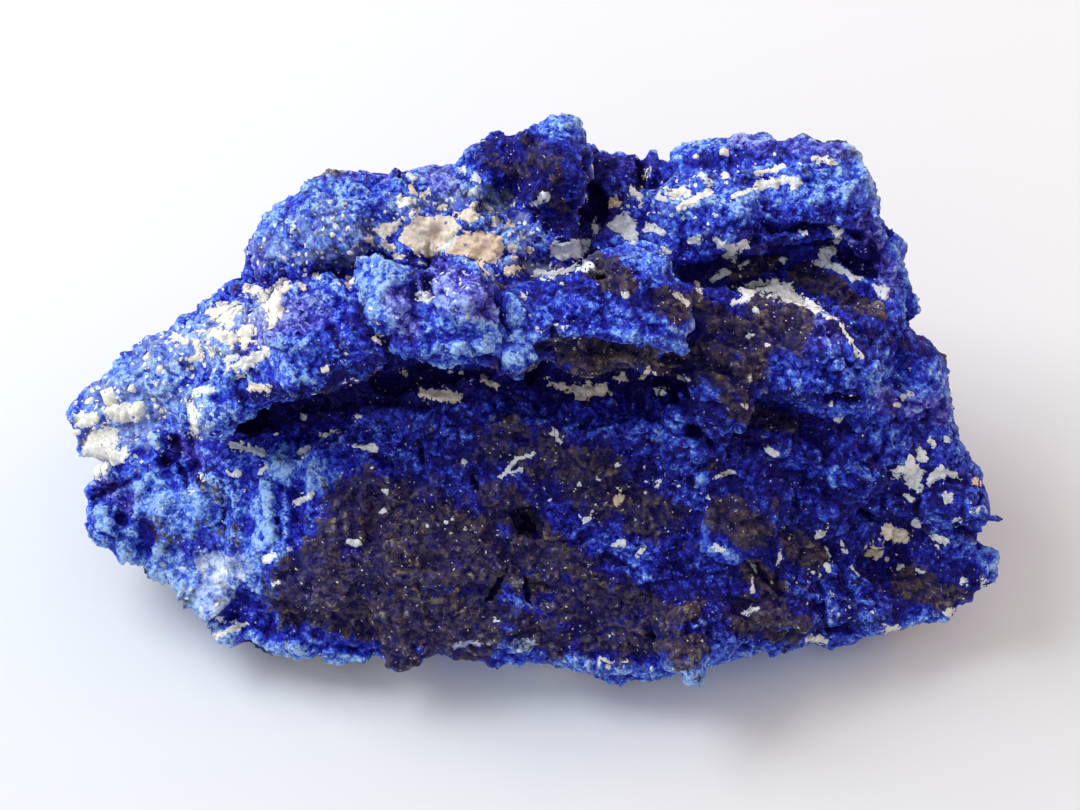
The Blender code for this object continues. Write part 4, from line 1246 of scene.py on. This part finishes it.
def flakeGrid():
    # How far inside a clay mark each place of a grid is, in pixels, with its tone and width.
    step, past = flakes["step"], flakes["past"]
    xs, ys = np.meshgrid(np.arange(0, eye["width"], step), np.arange(0, eye["height"], step))
    inside = np.full(xs.shape, farOutside)
    tones, widths = np.zeros(xs.shape), np.zeros(xs.shape)

    def lay(low, high, reach, depthOf, shade, width):
        part = tuple(slice(int((low[axis] - reach) / step), int((high[axis] + reach) / step) + 2)
                     for axis in (1, 0))
        pixels = np.column_stack([xs[part].ravel(), ys[part].ravel()])
        depth = depthOf(pixels).reshape(xs[part].shape)
        nearer = depth > inside[part]
        for grid, value in ((inside, depth), (tones, shade), (widths, width)):
            grid[part] = np.where(nearer, value, grid[part])

    for shade, strokes in clayMarks.values():
        for stroke in strokes:
            ends, half = np.reshape(stroke[:4], (2, 2)), stroke[4]
            lay(ends.min(axis=0), ends.max(axis=0), half + past,
                lambda pixels: strokeField(pixels, [stroke]) * half, shade, half)
    for shade, outline in clayPlates.values():
        lay(np.min(outline, axis=0), np.max(outline, axis=0), past,
            lambda pixels: plateField(pixels, outline), shade, flakes["plateWidth"])
    return xs, ys, inside, tones, widths


def brokenOutline(x, y, width):
    # How far a flake's outline is off its mark, in pixels.
    swayBy, swayWidth = flakes["sway"]
    chipBy, chipWidth = flakes["chips"]
    least, full = flakes["narrow"]
    sway = noise.noise(Vector((x, y, 0)) / swayWidth) * swayBy
    chip = facetAt(Vector((x, y, 0)) / chipWidth, 11.3)[0] * chipBy
    return (sway + chip) * min(1, least + width / full)


def flakePoints(xs, ys, inside, tones, widths):
    # The number of each place that holds clay, and a row for each: its point on the stone, the one
    # below it, how far off it is, its tone and how far inside it is.
    numbers = np.full(xs.shape, -1)
    rows = []
    for cell in map(tuple, np.argwhere(inside > -5)):
        x, y = xs[cell], ys[cell]
        within = inside[cell] + brokenOutline(x, y, widths[cell])
        start, ray = rayThrough(x, y)
        place, _, _, depth = stoneTree.ray_cast(start, ray)
        if within < -flakes["rim"] or place is None:
            continue
        lumpBy, lumpWidth = flakes["lumps"]
        lump = noise.noise(place / (lumpWidth * mm)) * lumpBy * min(1, max(0, within / 3))
        rise = flakes["thick"] * smooth((within + 0.4) / 1.6) + flakes["crown"] * smooth(within / 12)
        numbers[cell] = len(rows)
        above = place - ray * (rise + lump - flakes["sunk"]) * mm
        below = place + ray * flakes["under"] * mm
        rows.append((*above, *below, depth, tones[cell], np.clip(within / 4, 0, 1)))
    return numbers, np.array(rows)


def buildFlakes():
    numbers, rows = flakePoints(*flakeGrid())
    points, unders = rows[:, :3], rows[:, 3:6]
    depths, tones, inner = rows[:, 6:].T
    corners = np.stack([numbers[:-1, :-1], numbers[1:, :-1], numbers[1:, 1:], numbers[:-1, 1:]], axis=-1)
    quads = corners.reshape(-1, 4)
    quads = quads[(quads >= 0).all(axis=1)]
    spans = depths[quads].max(axis=1) - depths[quads].min(axis=1)
    quads = quads[spans < flakes["jump"] * mm]
    sides = np.concatenate([quads[:, [k, (k + 1) % 4]] for k in range(4)]).tolist()
    taken = {(a, b) for a, b in sides}
    rim = np.array([(a, b) for a, b in sides if (b, a) not in taken])
    count = len(points)
    walls = np.column_stack([rim[:, 1], rim[:, 0], rim[:, 0] + count, rim[:, 1] + count])
    allQuads = np.concatenate([quads, quads[:, ::-1] + count, walls])
    triangles = np.concatenate([allQuads[:, [0, 1, 2]], allQuads[:, [0, 2, 3]]])
    used, triangles = np.unique(triangles, return_inverse=True)
    triangles = triangles.reshape(-1, 3)
    places = np.concatenate([points, unders])[used]
    places[:, 2] = np.maximum(places[:, 2], flakes["footClear"])
    mesh = meshFrom("clayFlakes", places, triangles)
    storeColors(mesh, "clay", (tones[used % count], inner[used % count]))
    mesh.materials.append(paleClay)
    mesh.shade_smooth()
    made = newObject("clayFlakes", mesh)
    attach(made, "root")
    print("clay flakes:", len(triangles), "triangles")


buildFlakes()


# Nodules of clay where they are marked, and small crumbs all over.
crumbs = {
    "nodules": (10, 26),        # how many different ones, and their corners
    "noduleUneven": (0.8, 1.2),
    "noduleSize": (0.85, 1.1),  # of its mark
    "noduleSunk": 0.42,         # share of its size that a nodule sits in the stone
    "count": 2000,              # small ones
    "size": (0.05, 0.26),       # mm, half across
    "mostlySmall": 3.0,
    "uneven": (0.5, 1.5),
    "shapes": (12, 9),
    "sunk": 0.35,
    "tone": (0.0, 0.5),
    "onDust": 8.0,              # how many times more lie on dusty crust
    "dustGrowth": 1.6,          # and how many times larger they are there
    "footClear": 0.8 * mm,
    "seed": 41,
}


def markedNodules(rng):
    # Places, sizes and tones of nodules along their marks.
    rows = []
    for tone, strokes in noduleMarks.values():
        for x0, y0, x1, y1, half in strokes:
            count = 1 + int(math.hypot(x1 - x0, y1 - y0) / half)
            for share in (np.arange(count) + 0.5) / count:
                start, ray = rayThrough(x0 + (x1 - x0) * share, y0 + (y1 - y0) * share)
                place, normal, _, _ = stoneTree.ray_cast(start, ray)
                if place is None:
                    continue
                size = half * 0.1 * mm * rng.uniform(*crumbs["noduleSize"])     # 0.1 mm in a pixel
                rows.append((*(place - normal * size * crumbs["noduleSunk"]), size, tone))
    rows = np.array(rows)
    return rows[:, :3], rows[:, 3], rows[:, 4]


def buildCrumbs():
    rng = np.random.default_rng(crumbs["seed"])
    places, sizes, tones = markedNodules(rng)
    shapes = crumbShapes(*crumbs["nodules"], rng)
    scales = sizes[:, None] * rng.uniform(*crumbs["noduleUneven"], (len(sizes), 3))
    points, triangles, owners = scatterShapes(shapes, places, scales, rng)
    spots, normals, near = surfacePoints(stone.data, crumbs["count"] * 12, rng)
    likely = (1 + fields["dustAndSheen"][near] * crumbs["onDust"]) * (fields["pit"][near] < 0.2)
    chosen = rng.choice(len(spots), crumbs["count"], replace=False, p=likely / likely.sum())
    spots, normals = spots[chosen], normals[chosen]
    small = mostlySmall(crumbs, len(spots), rng)
    small *= 1 + crumbs["dustGrowth"] * fields["dustAndSheen"][near][chosen] * rng.random(len(spots))
    clear = spots[:, 2] > crumbs["footClear"]
    spots, normals, small = spots[clear], normals[clear], small[clear]
    spots = spots - normals * (small * crumbs["sunk"])[:, None]
    shapes = crumbShapes(*crumbs["shapes"], rng)
    tiny, tinyTriangles, tinyOwners = scatterShapes(shapes, spots, unevenScales(crumbs, small, rng), rng)
    tinyTones = rng.uniform(*crumbs["tone"], len(spots))
    mesh = meshFrom("clayCrumbs", np.concatenate([points, tiny]),
                    np.concatenate([triangles, tinyTriangles + len(points)]))
    tone = np.concatenate([tones[owners], tinyTones[tinyOwners]])
    storeColors(mesh, "clay", (tone, np.ones(len(tone))))
    mesh.materials.append(paleClay)
    made = newObject("clayCrumbs", mesh)
    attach(made, "root")
    print("clay crumbs:", len(places), "nodules,", len(spots), "small ones")


buildCrumbs()


stageSetup = {
    "size": 1.6,                        # m across
    "below": 0.02 * mm,                 # the foot
    "paper": {"Base Color": (0.77, 0.78, 0.80, 1), "Roughness": 0.9},
    "fibre": ((1.2, 4.0, 0.6), (0.06, 0.35)),       # a noise, then mm and strength of its bump
    "lights": {
        "keyLight": ((-0.32, 0.17, 0.38), 0.32, 2.4, (0.92, 0.96, 1.0)),    # from, size, power, colour
        "fillLight": ((0.30, 0.10, 0.16), 0.20, 0.45, (1.0, 0.60, 0.36)),
        "bounceLight": ((-0.26, -0.34, 0.11), 0.30, 0.20, (0.95, 0.97, 1.0)),
    },
    "sky": {"from": (-0.55, 0.20, 0.80), "dim": 0.37, "bright": 0.66,
            "dimColor": (0.95, 0.95, 1.0, 1), "brightColor": (0.92, 0.97, 1.0, 1)},
}


def standAt(made, where, back):
    # Stands something at a place, with its back that way.
    made.location = where
    made.rotation_mode = "QUATERNION"
    made.rotation_quaternion = back.to_track_quat("Z", "Y")


def buildSky():
    # A room that is brighter above and behind on the left.
    setup = stageSetup["sky"]
    world = bpy.data.worlds.new("room")
    world.use_nodes = True
    tree = world.node_tree
    room = tree.nodes["Background"].inputs
    towards = addNode(tree, "ShaderNodeTexCoord").outputs["Generated"]
    along = vectorNode(tree, "DOT_PRODUCT", towards, Vector(setup["from"]).normalized())["Value"]
    share = stepUp(tree, along, -0.5, 1.0)
    feed(tree, mixColor(tree, share, setup["dimColor"], setup["brightColor"]), room["Color"])
    strength = mathNode(tree, "MULTIPLY_ADD", share, setup["bright"] - setup["dim"], setup["dim"])
    feed(tree, strength, room["Strength"])
    bpy.context.scene.world = world


def buildStage():
    half = stageSetup["size"] / 2
    mesh = bpy.data.meshes.new("paperFloor")
    corners = ((-half, -half), (half, -half), (half, half), (-half, half))
    mesh.from_pydata([(x, y, -stageSetup["below"]) for x, y in corners], [], [(0, 1, 2, 3)])
    floor = newObject("paperFloor", mesh)
    made, tree, shader = newMaterial("paper")
    for socket, value in stageSetup["paper"].items():
        shader[socket].default_value = value
    texture, bump = stageSetup["fibre"]
    feed(tree, bumpNode(tree, noiseNode(tree, millimetres(tree), *texture), *bump), shader["Normal"])
    mesh.materials.append(made)
    for name, (where, size, power, color) in stageSetup["lights"].items():
        light = bpy.data.lights.new(name, "AREA")
        light.size, light.energy, light.color = size, power, color
        standAt(newObject(name, light), where, Vector(where) - eye["aim"])
    buildSky()
    print("stage: paper, three lights and a sky")


def buildCamera():
    where, back, _ = eyeAxes()
    data = bpy.data.cameras.new("camera")
    data.lens = eye["lens"]
    data.sensor_width = eye["sensor"]
    data.clip_start, data.clip_end = 0.01, 20
    camera = newObject("camera", data)
    standAt(camera, where, back)
    bpy.context.scene.camera = camera
    print("camera:", eye["lens"], "mm lens")


buildStage()
buildCamera()
bpy.context.scene.view_settings.view_transform = "Standard"
